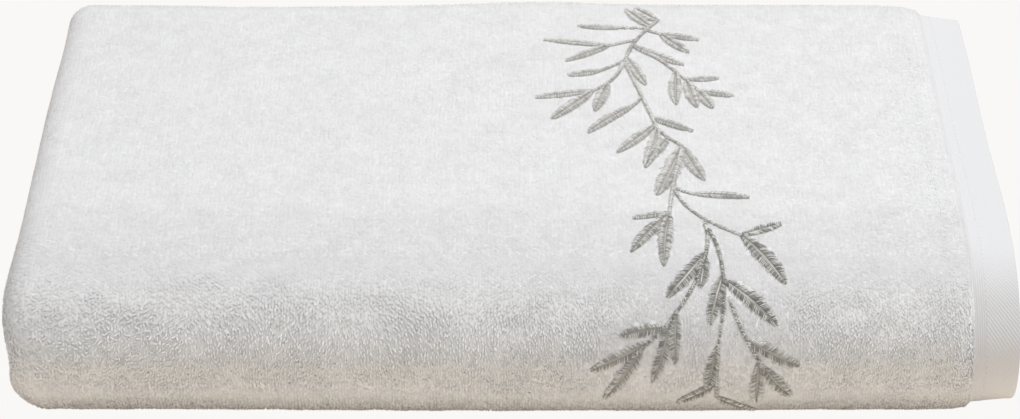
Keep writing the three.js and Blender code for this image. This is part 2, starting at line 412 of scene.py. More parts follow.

# %% [markdown]
# Folded cloth is never quite level. It swells where layers are caught and sinks where they are
# not, and its ends wander in and out. Noise would do that evenly all over, which no cloth does, so
# the main swells are listed one by one: each row of these short tables moves the stack round one
# place, and a bell curve lets it die away. Sizes in the tables are in millimetres.

# %% Unevenness of the stack
SWELLS = [
    dict(x=11, y=105, spread_x=30, spread_y=55, rise=1.4),
    dict(x=-90, y=105, spread_x=48, spread_y=60, rise=-0.9),
    dict(x=-60, y=-20, spread_x=60, spread_y=50, rise=0.8),
    dict(x=70, y=-35, spread_x=55, spread_y=45, rise=-0.7),
    dict(x=168, y=22, spread_x=28, spread_y=40, rise=-1.1),
    dict(x=168, y=-52, spread_x=28, spread_y=34, rise=0.9),
    dict(x=176, y=108, spread_x=22, spread_y=30, rise=-2.4),
]
END_BULGES = [
    dict(side=-1, y=90, z=48, spread_y=40, spread_z=18, push=-1.1),
    dict(side=-1, y=-108, z=42, spread_y=26, spread_z=11, push=2.3),
    dict(side=-1, y=-112, z=28, spread_y=24, spread_z=7, push=-0.6),
    dict(side=-1, y=-112, z=17, spread_y=24, spread_z=6, push=0.3),
    dict(side=-1, y=-112, z=3, spread_y=24, spread_z=7, push=-2.6),
    dict(side=1, y=-62, z=44, spread_y=46, spread_z=30, push=0.7),
]
FRONT_BULGES = [dict(x=20, z=8, spread_x=110, spread_z=24, push=2.2)]
BULGE_DEPTH = 70 * mm


def bell(offset, spread):
    """1 at the middle, dying away over spread (in millimetres)."""
    return np.exp(-((offset / (spread * mm)) ** 2))


def uneven(x, y, z):
    """Lifts and pushes points by the unevenness of the stack. What lies on the floor stays level."""
    lift = sum(
        s["rise"] * mm * bell(x - s["x"] * mm, s["spread_x"]) * bell(y - s["y"] * mm, s["spread_y"])
        for s in SWELLS
    )
    push_x = 0
    for b in END_BULGES:
        near_end = np.clip(1 - (RIGHT - b["side"] * x) / BULGE_DEPTH, 0, 1) ** 2
        shape = bell(y - b["y"] * mm, b["spread_y"]) * bell(z - b["z"] * mm, b["spread_z"])
        push_x = push_x + b["side"] * b["push"] * mm * near_end * shape
    near_front = np.clip(1 - (y - FRONT) / BULGE_DEPTH, 0, 1) ** 2
    push_y = sum(
        b["push"] * mm * bell(x - b["x"] * mm, b["spread_x"]) * bell(z - b["z"] * mm, b["spread_z"])
        for b in FRONT_BULGES
    )
    return x + push_x, y - push_y * near_front, z + lift * np.clip(z / HEIGHT, 0, 1)


print(len(SWELLS), "swells,", len(END_BULGES), "end bulges,", len(FRONT_BULGES), "front bulge")

# %% [markdown]
# Now the fold itself. It takes three numbers for each point of the flat towel: how far along the
# towel's length, how far down its width, and how high it stands off the middle of the cloth, with
# plus for the side that ends up outside. The first two are measured on the outside of the folds,
# because that is where the loops and the stitches will sit, and there they must not be stretched.

# %% The function that folds the towel
OUTSIDE = SECTION[:, :2] + SECTION[:, 2:4] * SECTION[:, 4:5] / 2
FACE_ALONG = path_length(OUTSIDE)
FACE_DOWN = path_length(WAY[:, :2])


def thickness(along, down):
    """Full thickness of the cloth, pile included, at places on the flat towel."""
    across = np.interp(along, FACE_ALONG, SECTION[:, 4])
    from_side = np.minimum(down, FACE_DOWN[-1] - down)
    into_hem = np.clip(1 - (from_side - SIDE_HEM_WIDTH) / HEM_STEP, 0, 1)
    return across + (np.minimum(across, SIDE_HEM) - across) * into_hem


def fold_loose(along, down, height):
    """The folded places of points on the flat towel, before they are set on the floor."""
    x, w, out_x, out_w = (np.interp(along, FACE_ALONG, SECTION[:, n]) for n in range(4))
    outer_y, outer_z, inner_y, inner_z = (np.interp(down, FACE_DOWN, WAY[:, n]) for n in range(4))
    share = (w + out_w * height) / STRIP
    y = inner_y + (outer_y - inner_y) * share
    z = inner_z + (outer_z - inner_z) * share
    return np.stack(uneven(x + out_x * height, y, z), axis=-1)


# The folded cloth is moved so that its box has the middle and the foot of the frame's solid.
probe_along, probe_down = np.meshgrid(
    np.arange(0, FACE_ALONG[-1], 2 * FINE), np.arange(0, FACE_DOWN[-1], 2 * FINE)
)
half = thickness(probe_along, probe_down) / 2
probes = np.stack([fold_loose(probe_along, probe_down, side * half) for side in (1, -1)])
low, high = probes.min(axis=(0, 1, 2)), probes.max(axis=(0, 1, 2))
box_low, box_high = (np.array(corner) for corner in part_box("towel"))
SET_DOWN = (box_low + box_high - low - high) / 2
SET_DOWN[2] = box_low[2] - low[2]


def fold(along, down, height):
    """The places of points on the flat towel once it is folded and set on the floor."""
    return fold_loose(along, down, height) + SET_DOWN


print("folded size in mm:", np.round((high - low) / mm, 1))
print("frame size in mm:", np.round((box_high - box_low) / mm, 1))

# %% [markdown]
# Places on the part of the towel that shows are easier to name on the folded stack than on the
# flat cloth: millimetres across, plus to the right, and millimetres down from the back edge of the
# level top, over the front fold. One function turns them into the flat cloth's own measures, and
# the dents, the lay of the loops and the embroidery all use it.

# %% Spans of the cloth, and places on the part that shows
PILE_UNDER_BACK = 4 * mm
PILE_UNDER_FRONT = 14 * mm
RUN_START, RUN_END = part_span(SECTION_PARTS, FACE_ALONG, "outer run")
FOLD_END = part_span(SECTION_PARTS, FACE_ALONG, "end fold")[1]
TIGHT_SPAN = part_span(SECTION_PARTS, FACE_ALONG, "tight fold")
BACK_SPAN = part_span(WAY_PARTS, FACE_DOWN, "back fold")
TOP_SPAN = part_span(WAY_PARTS, FACE_DOWN, "top")
FOOT_SPAN = part_span(WAY_PARTS, FACE_DOWN, "front foot")
PILE_START = RUN_START + END_HEM_WIDTH
PILE_DOWN = (BACK_SPAN[0] - PILE_UNDER_BACK, FOOT_SPAN[1] + PILE_UNDER_FRONT)
SIDE_DOWN = (SIDE_HEM_WIDTH, FACE_DOWN[-1] - SIDE_HEM_WIDTH)
OUTER_ROWS = len(SECTION_PARTS["outer run"])


def shown(x, down):
    """The flat place of a point given in millimetres across and down the part that shows."""
    along = np.interp(RIGHT - np.asarray(x) * mm, RIGHT - SECTION[:OUTER_ROWS, 0],
                      FACE_ALONG[:OUTER_ROWS])
    return along, TOP_SPAN[0] + np.asarray(down) * mm


def inside(value, span, fade):
    """1 well inside a span, 0 outside it, with a soft change over fade."""
    return soft_step(np.minimum(value - span[0], span[1] - value), 0, fade)


print("level top", np.round(TOP_SPAN, 3), "front foot", np.round(FOOT_SPAN, 3), "m down the towel")

# %% [markdown]
# The embroidery is drawn before the loops are raised, because it presses the pile round it: two
# sprigs of slender leaves, one on the top and one down the front. An outline for each leaf would
# take hundreds of numbers. Instead a stem is an arc with a start, a heading in degrees (0 straight
# down, plus to the right), a bend over its whole length, and a length in millimetres. Its leaves
# sit at a share of that length, each with its own heading, length and width.

# %% Stems and leaves of the two sprigs
LEAF_BEND = 12
LEAF_FULLNESS = 1.06
LEAF_BELLY = 0.85
LEAF_ROUNDNESS = 0.6
LEAST_SHARE = 0.01
STEM_STEPS = 12
STEM_WIDTH = 1.8


def stem(x, down, heading, bend, length, *leaves):
    """One row of the table: a stem and the leaves on it."""
    return dict(start=(x, down), heading=heading, bend=bend, length=length, leaves=leaves)


def leaf(at, heading, length, width):
    """A leaf of a stem: the share of the stem where it sits, its heading, length and width."""
    return dict(at=at, heading=heading, length=length, width=LEAF_FULLNESS * width)


TOP_SPRIG = [
    stem(57, 10, -34, 28, 42, leaf(0, -142, 14, 6.3), leaf(0.16, -150, 18, 5.3),
         leaf(0.6, 49, 26, 5.3), leaf(0.85, 16, 25, 4.8)),
    stem(53, 17, -88, 0, 10, leaf(1, -92, 18, 3.8)),
    stem(47, 28, -62, 0, 11, leaf(1, -99, 26, 4), leaf(1, -51, 22, 4.8)),
    stem(52, 19, 60, 0, 6, leaf(1, 70, 16, 4.8), leaf(1, 32, 20, 5)),
    stem(42, 47, -47, 0, 11, leaf(1, -71, 14, 4.4)),
    stem(42, 49, -8, -38, 26, leaf(0.65, -13, 25, 5), leaf(1, -75, 23, 4.8), leaf(1, -34, 29, 5.6)),
    stem(47, 32, 38, -16, 46, leaf(0.6, -2, 28, 5), leaf(0.78, 8, 23, 5),
         leaf(0.76, 94, 13, 4), leaf(1, 73, 14, 5), leaf(1, 19, 15, 5)),
    stem(43, 49, 12, -2, 55, leaf(0.82, 53, 19, 4.8), leaf(0.93, -33, 27, 5.2),
         leaf(1, -10, 31, 5.4)),
    stem(48, 78, -24, 0, 6, leaf(1, -38, 29, 5.2)),
    stem(53, 102, 30, 5, 17, leaf(0.5, -25, 23, 4.8), leaf(1, -15, 40, 7.3), leaf(1, 15, 28, 5.8)),
]
FRONT_SPRIG = [
    stem(62, 118, -9, 4, 51, leaf(1, -72, 14, 3.8), leaf(1, -28, 31, 5.4), leaf(1, -5, 35, 5.6)),
    stem(58, 149, 53, 0, 8, leaf(1, 82, 21, 5.2)),
    stem(58, 150, 10, 45, 43, leaf(1, 120, 17, 5.8), leaf(1, 29, 30, 6.8)),
    stem(68, 176, 8, -58, 66, leaf(0.3, -34, 26, 5.8), leaf(0.34, -8, 15, 4.8), leaf(0.74, -2, 19, 4.8),
         leaf(0.8, -15, 24, 5.2), leaf(0.85, -79, 16, 4.8), leaf(0.95, -63, 24, 5.2),
         leaf(1, -32, 26, 5.4)),
    stem(68, 178, 18, -30, 57, leaf(0.52, -14, 21, 5.2), leaf(0.56, 45, 26, 6.3),
         leaf(1, -11, 18, 5.4)),
    stem(75, 217, 14, 22, 28, leaf(0.6, 63, 21, 5.6), leaf(0.9, -1, 20, 5.4), leaf(1, 37, 17, 5.8)),
    stem(71, 234, -4, 8, 22, leaf(0.7, -53, 17, 4.8), leaf(1, 50, 18, 4.8)),
]


def arc(start, heading, bend, length, shares):
    """Places and headings along an arc, at shares of its length. The first share is 0."""
    headings = np.radians(heading + bend * shares)
    middle = (headings[1:] + headings[:-1]) / 2
    steps = np.diff(shares) * length
    moves = np.vstack([[0, 0], np.cumsum(np.column_stack([np.sin(middle), np.cos(middle)])
                                         * steps[:, None], axis=0)])
    return np.asarray(start) + moves, headings


def stem_arc(row, shares):
    """Places and headings along a stem."""
    return arc(row["start"], row["heading"], row["bend"], row["length"], shares)


def leaf_half_width(share):
    """Half of a leaf's width along it, from 0 at both ends to 1 before its middle."""
    return np.sin(np.pi * share**LEAF_BELLY) ** LEAF_ROUNDNESS


def leaf_arc(row, shares):
    """Places and headings along a leaf, whose heading is the one at its middle."""
    start = row["heading"] - row["bend"] / 2
    return arc(row["start"], start, row["bend"], row["length"], shares)


EMBROIDERY_RANDOM = np.random.default_rng(3)
STEMS = TOP_SPRIG + FRONT_SPRIG
LEAVES = []
for row in STEMS:
    for one in row["leaves"]:
        up_to_leaf = np.linspace(0, max(one["at"], LEAST_SHARE), STEM_STEPS)
        place = stem_arc(row, up_to_leaf)[0][-1]
        bend = EMBROIDERY_RANDOM.uniform(-LEAF_BEND, LEAF_BEND)
        LEAVES.append(dict(one, start=place, bend=bend))
print(len(STEMS), "stems and", len(LEAVES), "leaves")

# %% [markdown]
# How near a point of the cloth is to the embroidery decides whether a loop may stand there. Round
# spots strung along every stem and leaf, each as wide as the stitching there, answer that well
# enough and keep the sums short.

# %% Distance from the embroidery
SPOT_STEP = 1.2
PRESS_REACH = 8 * mm
STITCH_MARGIN = 0.35 * mm


def spots(rows, line, half_width):
    """Round spots along stems or leaves: x, down and radius in millimetres."""
    found = []
    for row in rows:
        shares = np.linspace(0, 1, int(row["length"] / SPOT_STEP) + 2)
        places, _ = line(row, shares)
        found.append(np.column_stack([places, half_width(row, shares)]))
    return np.vstack(found)


SPOTS = np.vstack([
    spots(STEMS, stem_arc, lambda row, shares: STEM_WIDTH / 2 + 0 * shares),
    spots(LEAVES, leaf_arc, lambda row, shares: row["width"] / 2 * leaf_half_width(shares)),
])
SPOT_ALONG, SPOT_DOWN = shown(SPOTS[:, 0], SPOTS[:, 1])


def stitch_distance(along, down):
    """How far each place is from the edge of the embroidery, up to PRESS_REACH."""
    along, down = np.broadcast_arrays(along, down)
    distance = np.full(along.shape, PRESS_REACH)
    near = (along > SPOT_ALONG.min() - PRESS_REACH) & (along < SPOT_ALONG.max() + PRESS_REACH)
    near &= (down > SPOT_DOWN.min() - PRESS_REACH) & (down < SPOT_DOWN.max() + PRESS_REACH)
    a, d, least = along[near], down[near], distance[near]
    for spot_along, spot_down, radius in zip(SPOT_ALONG, SPOT_DOWN, SPOTS[:, 2] * mm):
        least = np.minimum(least, np.hypot(a - spot_along, d - spot_down) - radius)
    distance[near] = least
    return distance


def under_stitches(along, down):
    """Whether a place lies under the embroidery, where no loop may stand."""
    return stitch_distance(along, down) < STITCH_MARGIN


print(len(SPOTS), "spots")

# %% [markdown]
# The pile is not the same everywhere. The stack's weight presses it flat on top; where the cloth
# bends over the front fold its loops stand apart; near the floor it is pressed again, and
# along the very foot it frays. Beside the embroidery it is pressed too. Where the top turns over
# into the front, painted shade deepens the cotton, on the loops and on the ground between them alike.
# Soft dents, listed in a table, break the front fold as handling does.

# %% How the pile stands
PRESSED_DEPTH = 0.45 * mm
OPEN_DEPTH = 1.0 * mm
PILE_FADE = 3 * mm
PILE_END = FOLD_END + 3 * mm
OPEN_TOP = 0.06
OPEN_FROM = (17 * mm, 58 * mm)
OPEN_UNTIL = (63.5 * mm, 79 * mm)
OPEN_UNDER_BACK = 30 * mm
OPEN_FADE = 28 * mm
FRAYED_FOOT = (72 * mm, 100 * mm)
FRAY = 0.5
FRAY_FADE = 7 * mm
END_PRESS = 0.35
BESIDE_STITCHES = 0.15
EDGE_PAINTED_SHADE = 0.35
SHADED_EDGE = (-24 * mm, 36 * mm)
SHADED_EDGE_FADE = 22 * mm
DENTS = [
    dict(x=-172, down=226, spread=9, depth=0.8),
    dict(x=-152, down=238, spread=9, depth=-0.7),
    dict(x=-121, down=237, spread=8, depth=-0.5),
    dict(x=-115, down=224, spread=10, depth=0.7),
    dict(x=-67, down=229, spread=8, depth=-0.6),
    dict(x=-44, down=228, spread=9, depth=0.7),
    dict(x=-20, down=240, spread=8, depth=-0.4),
    dict(x=13, down=215, spread=10, depth=0.5),
    dict(x=14, down=236, spread=9, depth=-0.5),
    dict(x=116, down=218, spread=10, depth=0.7),
    dict(x=112, down=233, spread=9, depth=-0.4),
    dict(x=150, down=231, spread=9, depth=-0.5),
]


def pile_share(along, down):
    """How much of the pile stands at a place of the outer face: 1 in full, 0 where it is bare."""
    outer = inside(along, (PILE_START, PILE_END), HEM_STEP)
    outer = outer * inside(down, PILE_DOWN, PILE_FADE)
    ends = inside(along, (RUN_END - PILE_FADE, PILE_END), PILE_FADE)
    ends = ends + inside(along, TIGHT_SPAN, PILE_FADE)
    return np.maximum(outer, ends * inside(down, SIDE_DOWN, HEM_STEP))


def openness(along, down):
    """How far apart the loops stand at a place: 0 where pressed flat, 1 where open."""
    past = down - TOP_SPAN[1]
    front = soft_step(past, *OPEN_FROM) * (1 - soft_step(past, *OPEN_UNTIL))
    foot = FRAY * inside(past, FRAYED_FOOT, FRAY_FADE)
    back = inside(down, (BACK_SPAN[0] - OPEN_UNDER_BACK, TOP_SPAN[0]), OPEN_FADE)
    opened = np.maximum(OPEN_TOP, np.maximum(np.maximum(front, foot), back) + 0 * along)
    at_end = inside(along, (RUN_END - OPEN_FADE, FACE_ALONG[-1]), OPEN_FADE)
    away = np.clip(stitch_distance(along, down) / PRESS_REACH, 0, 1)
    return opened * (1 - END_PRESS * at_end) * (BESIDE_STITCHES + (1 - BESIDE_STITCHES) * away)


def pile_depth(along, down):
    """How high the loops stand over the ground cloth at a place of the outer face."""
    full = PRESSED_DEPTH + (OPEN_DEPTH - PRESSED_DEPTH) * openness(along, down)
    return full * pile_share(along, down)


def dented(along, down):
    """How deep the soft dents are at a place, with minus for the ridges between them."""
    total = 0 * along * down
    for dent in DENTS:
        middle_along, middle_down = shown(dent["x"], dent["down"])
        shape = bell(along - middle_along, dent["spread"]) * bell(down - middle_down, dent["spread"])
        total = total + dent["depth"] * mm * shape
    return total


def ground(along, down):
    """Height of the woven ground of the outer face above the middle of the cloth."""
    return thickness(along, down) / 2 - pile_depth(along, down) - dented(along, down)


def painted_edge_shade(down):
    """How much painted shade deepens the cotton where the level top turns over into the front."""
    return EDGE_PAINTED_SHADE * inside(down - TOP_SPAN[1], SHADED_EDGE, SHADED_EDGE_FADE)


print("pile stands from", round(PILE_START / mm, 1), "to", round(PILE_END / mm, 1), "mm along")

# %% [markdown]
# The cloth could be built layer by layer, but a towel is one piece and so is this mesh: a grid as
# dense as the folds need, copied for the back face, the two joined round the rim with
# bridge_loops, and every vertex then moved by the fold. Where loops will stand, the face is set
# back by the depth of the pile, so that the loops make the outside. Numbers kept on the vertices
# tell the material where the hem is, where loops stand open over the ground, where the hem slopes
# away from the light, and where its ribs show.

# %% Weave the sheet and fold it
EDGE_ROUND = 1.0 * mm
EDGE_LEAST = 0.3
SLOPE = (18 * mm, 86 * mm)
SLOPE_FADE = 22 * mm
RIBS = (6 * mm, 66 * mm)
RIBS_FADE = 18 * mm
DEEP_GROUND = (PILE_START + 2 * mm, FOLD_END + 9 * mm)
DEEP_GROUND_FADE = 6 * mm
BACK_DROP = 0.5


def stations(spans):
    """Places along a line, from rows of a start, an end and a number of steps."""
    return np.unique(np.concatenate([np.linspace(a, b, n + 1) for a, b, n in spans]))


def smooth_shaded(mesh):
    """The same mesh, shaded smooth."""
    mesh.polygons.foreach_set("use_smooth", np.ones(len(mesh.polygons), bool))
    return mesh


def point_values(mesh, name, values):
    """Keeps a number for each vertex as an attribute that materials can read."""
    mesh.attributes.new(name, "FLOAT", "POINT").data.foreach_set("value", values)


def section_stations():
    """Rows of stations along the towel, dense in the folds, the hems and the layer on top."""
    span = {name: part_span(SECTION_PARTS, FACE_ALONG, name) for name in SECTION_PARTS}
    end = FACE_ALONG[-1]
    inner_hem = end - END_HEM_WIDTH
    rounding = EDGE_ROUND / 2
    return stations([
        (0, rounding, 3), (rounding, EDGE_ROUND, 1), (EDGE_ROUND, PILE_START - HEM_STEP, 8),
        (PILE_START - HEM_STEP, PILE_START + HEM_STEP, 6),
        (PILE_START + HEM_STEP, PILE_START + SHOULDER_WIDTH, 4),
        (PILE_START + SHOULDER_WIDTH, RUN_END, 66), (*span["end fold"], 22),
        (*span["lowest run"], 26), (*span["tight fold"], 12), (*span["second run"], 18),
        (*span["inner fold"], 8), (span["inner run"][0], inner_hem - SHOULDER_WIDTH, 18),
        (inner_hem - HEM_STEP, inner_hem + HEM_STEP, 4), (inner_hem + HEM_STEP, end - EDGE_ROUND, 3),
        (end - EDGE_ROUND, end - rounding, 1), (end - rounding, end, 3),
    ])


def way_stations():
    """The same down the towel's width."""
    span = {name: part_span(WAY_PARTS, FACE_DOWN, name) for name in WAY_PARTS}
    end = FACE_DOWN[-1]
    rounding = EDGE_ROUND / 2
    hem = SIDE_HEM_WIDTH
    return stations([
        (0, rounding, 3), (rounding, EDGE_ROUND, 1), (EDGE_ROUND, hem, 3), (hem, hem + HEM_STEP, 2),
        (hem + HEM_STEP, span["back fold"][0], 18), (*span["back fold"], 22), (*span["top"], 38),
        (*span["front slope"], 18), (*span["front foot"], 14), (span["bottom"][0], end - hem, 20),
        (end - hem - HEM_STEP, end - hem, 2), (end - hem, end - EDGE_ROUND, 3),
        (end - EDGE_ROUND, end - rounding, 1), (end - rounding, end, 3),
    ])


def rim_round(along, down):
    """Thins the cloth at its very rim, so that the edge is rounded."""
    to_rim = np.minimum.reduce([along, FACE_ALONG[-1] - along, down, FACE_DOWN[-1] - down])
    share = np.clip(to_rim / EDGE_ROUND, 0, 1)
    return EDGE_LEAST + (1 - EDGE_LEAST) * np.sqrt(1 - (1 - share) ** 2)


def weave_sheet(name):
    """The flat sheet as one closed mesh, folded."""
    along_at, down_at = section_stations(), way_stations()
    columns, rows = len(along_at) - 1, len(down_at) - 1
    bm = bmesh.new()
    uv = bm.loops.layers.uv.new("flat_towel")
    bmesh.ops.create_grid(bm, x_segments=columns, y_segments=rows, size=1)
    copied = bmesh.ops.duplicate(bm, geom=bm.verts[:] + bm.edges[:] + bm.faces[:])["geom"]
    back_verts = [g for g in copied if isinstance(g, bmesh.types.BMVert)]
    back_faces = [g for g in copied if isinstance(g, bmesh.types.BMFace)]
    bmesh.ops.translate(bm, vec=(0, 0, -BACK_DROP), verts=back_verts)
    bmesh.ops.reverse_faces(bm, faces=back_faces)
    bmesh.ops.bridge_loops(bm, edges=[e for e in bm.edges if e.is_boundary])

    flat = np.array([v.co for v in bm.verts])
    column = np.rint((flat[:, 0] + 1) / 2 * columns).astype(int)
    row = np.rint((flat[:, 1] + 1) / 2 * rows).astype(int)
    along, down = along_at[column], down_at[row]
    on_back = flat[:, 2] < -BACK_DROP / 2
    height = np.where(on_back, -thickness(along, down) / 2, ground(along, down))
    places = fold(along, down, height * rim_round(along, down))
    true_along = np.interp(along, FACE_ALONG, SECTION_ALONG)
    true_down = np.interp(down, FACE_DOWN, WAY_ALONG)
    for vert, place in zip(bm.verts, places):
        vert.co = place
    for face in bm.faces:
        for corner in face.loops:
            n = corner.vert.index
            corner[uv].uv = (true_along[n], true_down[n])
    mesh = bpy.data.meshes.new(name)
    bm.to_mesh(mesh)
    bm.free()
    hem_along = 1 - inside(along, (PILE_START, FACE_ALONG[-1] - END_HEM_WIDTH), HEM_STEP)
    hem_down = 1 - inside(down, SIDE_DOWN, HEM_STEP)
    point_values(mesh, "hem", np.maximum(hem_along, hem_down))
    # The sheet's tone is painted shade where the level top turns over into the front.
    point_values(mesh, "tone", -painted_edge_shade(down) + 0 * along)
    # The slope and the ribs steer painted shade on the hem.
    point_values(mesh, "slope", inside(down - TOP_SPAN[1], SLOPE, SLOPE_FADE))
    point_values(mesh, "ribs", inside(down - TOP_SPAN[1], RIBS, RIBS_FADE))
    # The open number steers painted shade on the ground between open loops.
    from_edge = inside(along, DEEP_GROUND, DEEP_GROUND_FADE)
    point_values(mesh, "open", openness(along, down) * pile_share(along, down) * from_edge)
    return smooth_shaded(mesh)


cloth = new_object("terry_cloth", weave_sheet("terry_cloth"))
print("cloth:", len(cloth.data.vertices), "vertices")

# %% [markdown]
# Terry is a ground cloth with thousands of small loops of soft yarn. Hair particles would draw
# them as thin lines, and a bump would leave the outline smooth, so each loop is a real closed
# spindle of a dozen triangles, bent to an arch. Array modifiers repeat it over a stretch of
# the flat towel, numpy then gives each copy its own size, turn and lean, and the same fold as
# above lays them round the stack. The spindle keeps a UV map, once round and once along, so that
# a material can twist its yarn.

# %% One spindle of yarn, repeated
NEAR_TIP = 0.999


def unit_spindle(sides, rings):
    """A closed spindle of radius 1 with its tips at y = -1 and y = 1, as a mesh."""
    bm = bmesh.new()
    uv = bm.loops.layers.uv.new("yarn")
    bmesh.ops.create_uvsphere(bm, u_segments=sides, v_segments=rings, radius=1)
    bmesh.ops.rotate(bm, verts=bm.verts, matrix=Matrix.Rotation(math.radians(90), 3, "X"))
    bmesh.ops.triangulate(bm, faces=bm.faces)
    for face in bm.faces:
        middle = face.calc_center_median()
        beside = math.atan2(middle.z, middle.x)
        for corner in face.loops:
            at = corner.vert.co
            round_it = math.atan2(at.z, at.x) if abs(at.y) < NEAR_TIP else beside
            turns = (round_it - beside + math.pi) % (2 * math.pi) - math.pi + beside
            corner[uv].uv = (turns / (2 * math.pi), at.y / 2)
    mesh = bpy.data.meshes.new("spindle")
    bm.to_mesh(mesh)
    bm.free()
    return mesh


def coordinates(mesh):
    """The vertices of a mesh as an array with a row for each."""
    flat = np.empty(len(mesh.vertices) * 3)
    mesh.vertices.foreach_get("co", flat)
    return flat.reshape(-1, 3)


def repeated(mesh, counts, pitches):
    """The mesh repeated along X and then along Y by two Array modifiers."""
    holder = bpy.data.objects.new("repeat", mesh)
    bpy.context.scene.collection.objects.link(holder)
    for axis, (count, pitch) in enumerate(zip(counts, pitches)):
        step = holder.modifiers.new("repeat", "ARRAY")
        step.count = count
        step.use_relative_offset = False
        step.use_constant_offset = True
        step.constant_offset_displace = [pitch * (axis == n) for n in range(3)]
    bpy.context.view_layer.update()
    graph = bpy.context.evaluated_depsgraph_get()
    made = bpy.data.meshes.new_from_object(holder.evaluated_get(graph))
    bpy.data.objects.remove(holder)
    return made


def cloth_normals(along, down, height):
    """The direction straight out of the cloth at flat places, once it is folded."""
    normals = fold(along, down, height + 1 * mm) - fold(along, down, height)
    return normals / np.linalg.norm(normals, axis=-1)[..., None]


def soften(mesh, normals, share):
    """Turns the shading of each vertex by a share towards that of the cloth below it."""
    own = np.empty(len(mesh.vertices) * 3)
    mesh.vertex_normals.foreach_get("vector", own)
    mixed = own.reshape(-1, 3) * (1 - share) + normals * share
    mixed /= np.linalg.norm(mixed, axis=1)[:, None]
    mesh.normals_split_custom_set_from_vertices(mixed)


def keep_only(mesh, kept):
    """Deletes the vertices of a mesh that aren't kept."""
    bm = bmesh.new()
    bm.from_mesh(mesh)
    bmesh.ops.delete(bm, geom=[v for v, keep in zip(bm.verts, kept) if not keep], context="VERTS")
    bm.to_mesh(mesh)
    bm.free()


print("a spindle of 3 sides and 3 rings has", len(unit_spindle(3, 3).polygons), "triangles")

# %% [markdown]
# No two loops of a washed towel lie alike, but neighbours lean together in tufts. Both are needed:
# each loop gets its own small change, and a soft noise over the flat towel turns and lifts whole
# tufts. The noise is a coarse grid of random numbers with smooth steps in between, always from
# the same seed.

# %% Soft noise over the flat towel
def soft_noise(along, down, cell, seed):
    """Smooth noise from -1 to 1 over the flat towel, about one bump to each cell."""
    random = np.random.default_rng(seed)
    columns = int(FACE_ALONG[-1] / cell) + 3
    rows = int(FACE_DOWN[-1] / cell) + 3
    grid = random.uniform(-1, 1, (columns, rows))
    a, d = along / cell, down / cell
    i, j = a.astype(int), d.astype(int)
    a, d = a - i, d - j
    a, d = a * a * (3 - 2 * a), d * d * (3 - 2 * d)
    near = grid[i, j] * (1 - a) + grid[i + 1, j] * a
    far = grid[i, j + 1] * (1 - a) + grid[i + 1, j + 1] * a
    return near * (1 - d) + far * d


sample = soft_noise(np.linspace(0, 0.3, 200), np.full(200, 0.3), 7 * mm, 1)
print("noise from", round(sample.min(), 2), "to", round(sample.max(), 2))

# %% [markdown]
# The loops stand in columns down the front. Handling has combed them askew in patches, and has
# swirled them near the folded end, so a short table turns the lay round a few places and says how
# far loops there are scattered. Turn and scatter are in degrees.

# %% The lay of the loops
TUFT = 7 * mm
LAY_PATCHES = [
    dict(x=-160, down=222, spread=26, turn=20, scatter=45),
    dict(x=-128, down=236, spread=18, turn=-32, scatter=24),
    dict(x=-104, down=216, spread=16, turn=26, scatter=14),
    dict(x=-74, down=238, spread=14, turn=-22, scatter=5),
    dict(x=-38, down=230, spread=13, turn=22, scatter=4),
    dict(x=-12, down=216, spread=15, turn=-14, scatter=4),
    dict(x=18, down=234, spread=13, turn=18, scatter=5),
    dict(x=106, down=226, spread=16, turn=-4, scatter=12),
    dict(x=138, down=233, spread=14, turn=5, scatter=18),
]
LAY_SCATTER = 8
LAY_WANDER = 9
LAY_SEED = 11


def lay_of_pile(along, down, random):
    """The turn of each loop away from straight down the towel, in radians."""
    turn = LAY_WANDER * soft_noise(along, down, TUFT, LAY_SEED)
    scatter = LAY_SCATTER + 0 * along
    for patch in LAY_PATCHES:
        middle_along, middle_down = shown(patch["x"], patch["down"])
        shape = bell(along - middle_along, patch["spread"])
        shape = shape * bell(down - middle_down, patch["spread"])
        turn = turn + patch["turn"] * shape
        scatter = scatter + patch["scatter"] * shape
    return np.radians(turn + scatter * random.normal(size=along.shape))


print(len(LAY_PATCHES), "patches of askew pile")

# %% [markdown]
# A loop bends over in an arch: its two feet sink into the ground cloth and its back reaches the
# height of the pile. Pressed loops are broad, flat and long, and close up into an even face. Open
# loops are slim and short, and stand apart. So each size is given for both kinds, and a loop takes
# a value between the two from how open the pile is where it stands.

# %% Sizes of the loops
LOOP_SPACING = (1.5 * mm, 1.8 * mm)
FRONT_SPACING = (1.1 * mm, 1.6 * mm)
FINE_SPACING = (0.98 * mm, 1.38 * mm)
EDGE_SPACING = (1.0 * mm, 1.1 * mm)
LOOP_SIDES = 3
LOOP_RINGS = 3
PRESSED_LOOP = dict(width=1.1 * mm, tall=0.24 * mm, reach=1.4 * mm, wander=0.01 * mm)
OPEN_LOOP = dict(width=0.34 * mm, tall=0.4 * mm, reach=0.85 * mm, wander=0.2 * mm)
LOOP_SINK = 0.3 * mm
FLOOR_CLEARANCE = 0.1 * mm


def loop_size(part, opened):
    """One of the loops' sizes, between that of pressed and that of open loops."""
    return PRESSED_LOOP[part] + (OPEN_LOOP[part] - PRESSED_LOOP[part]) * np.sqrt(opened)


def set_folded(mesh, along, down, height):
    """Gives a mesh's vertices their places on the flat towel, folded and kept off the floor."""
    places = fold(along, down, height).reshape(-1, 3)
    places[:, 2] = np.maximum(places[:, 2], FLOOR_CLEARANCE)
    mesh.vertices.foreach_set("co", places.ravel())


for part in PRESSED_LOOP:
    print(part, "in mm, pressed to open:", [round(loop_size(part, n) / mm, 2) for n in (0, 0.5, 1)])
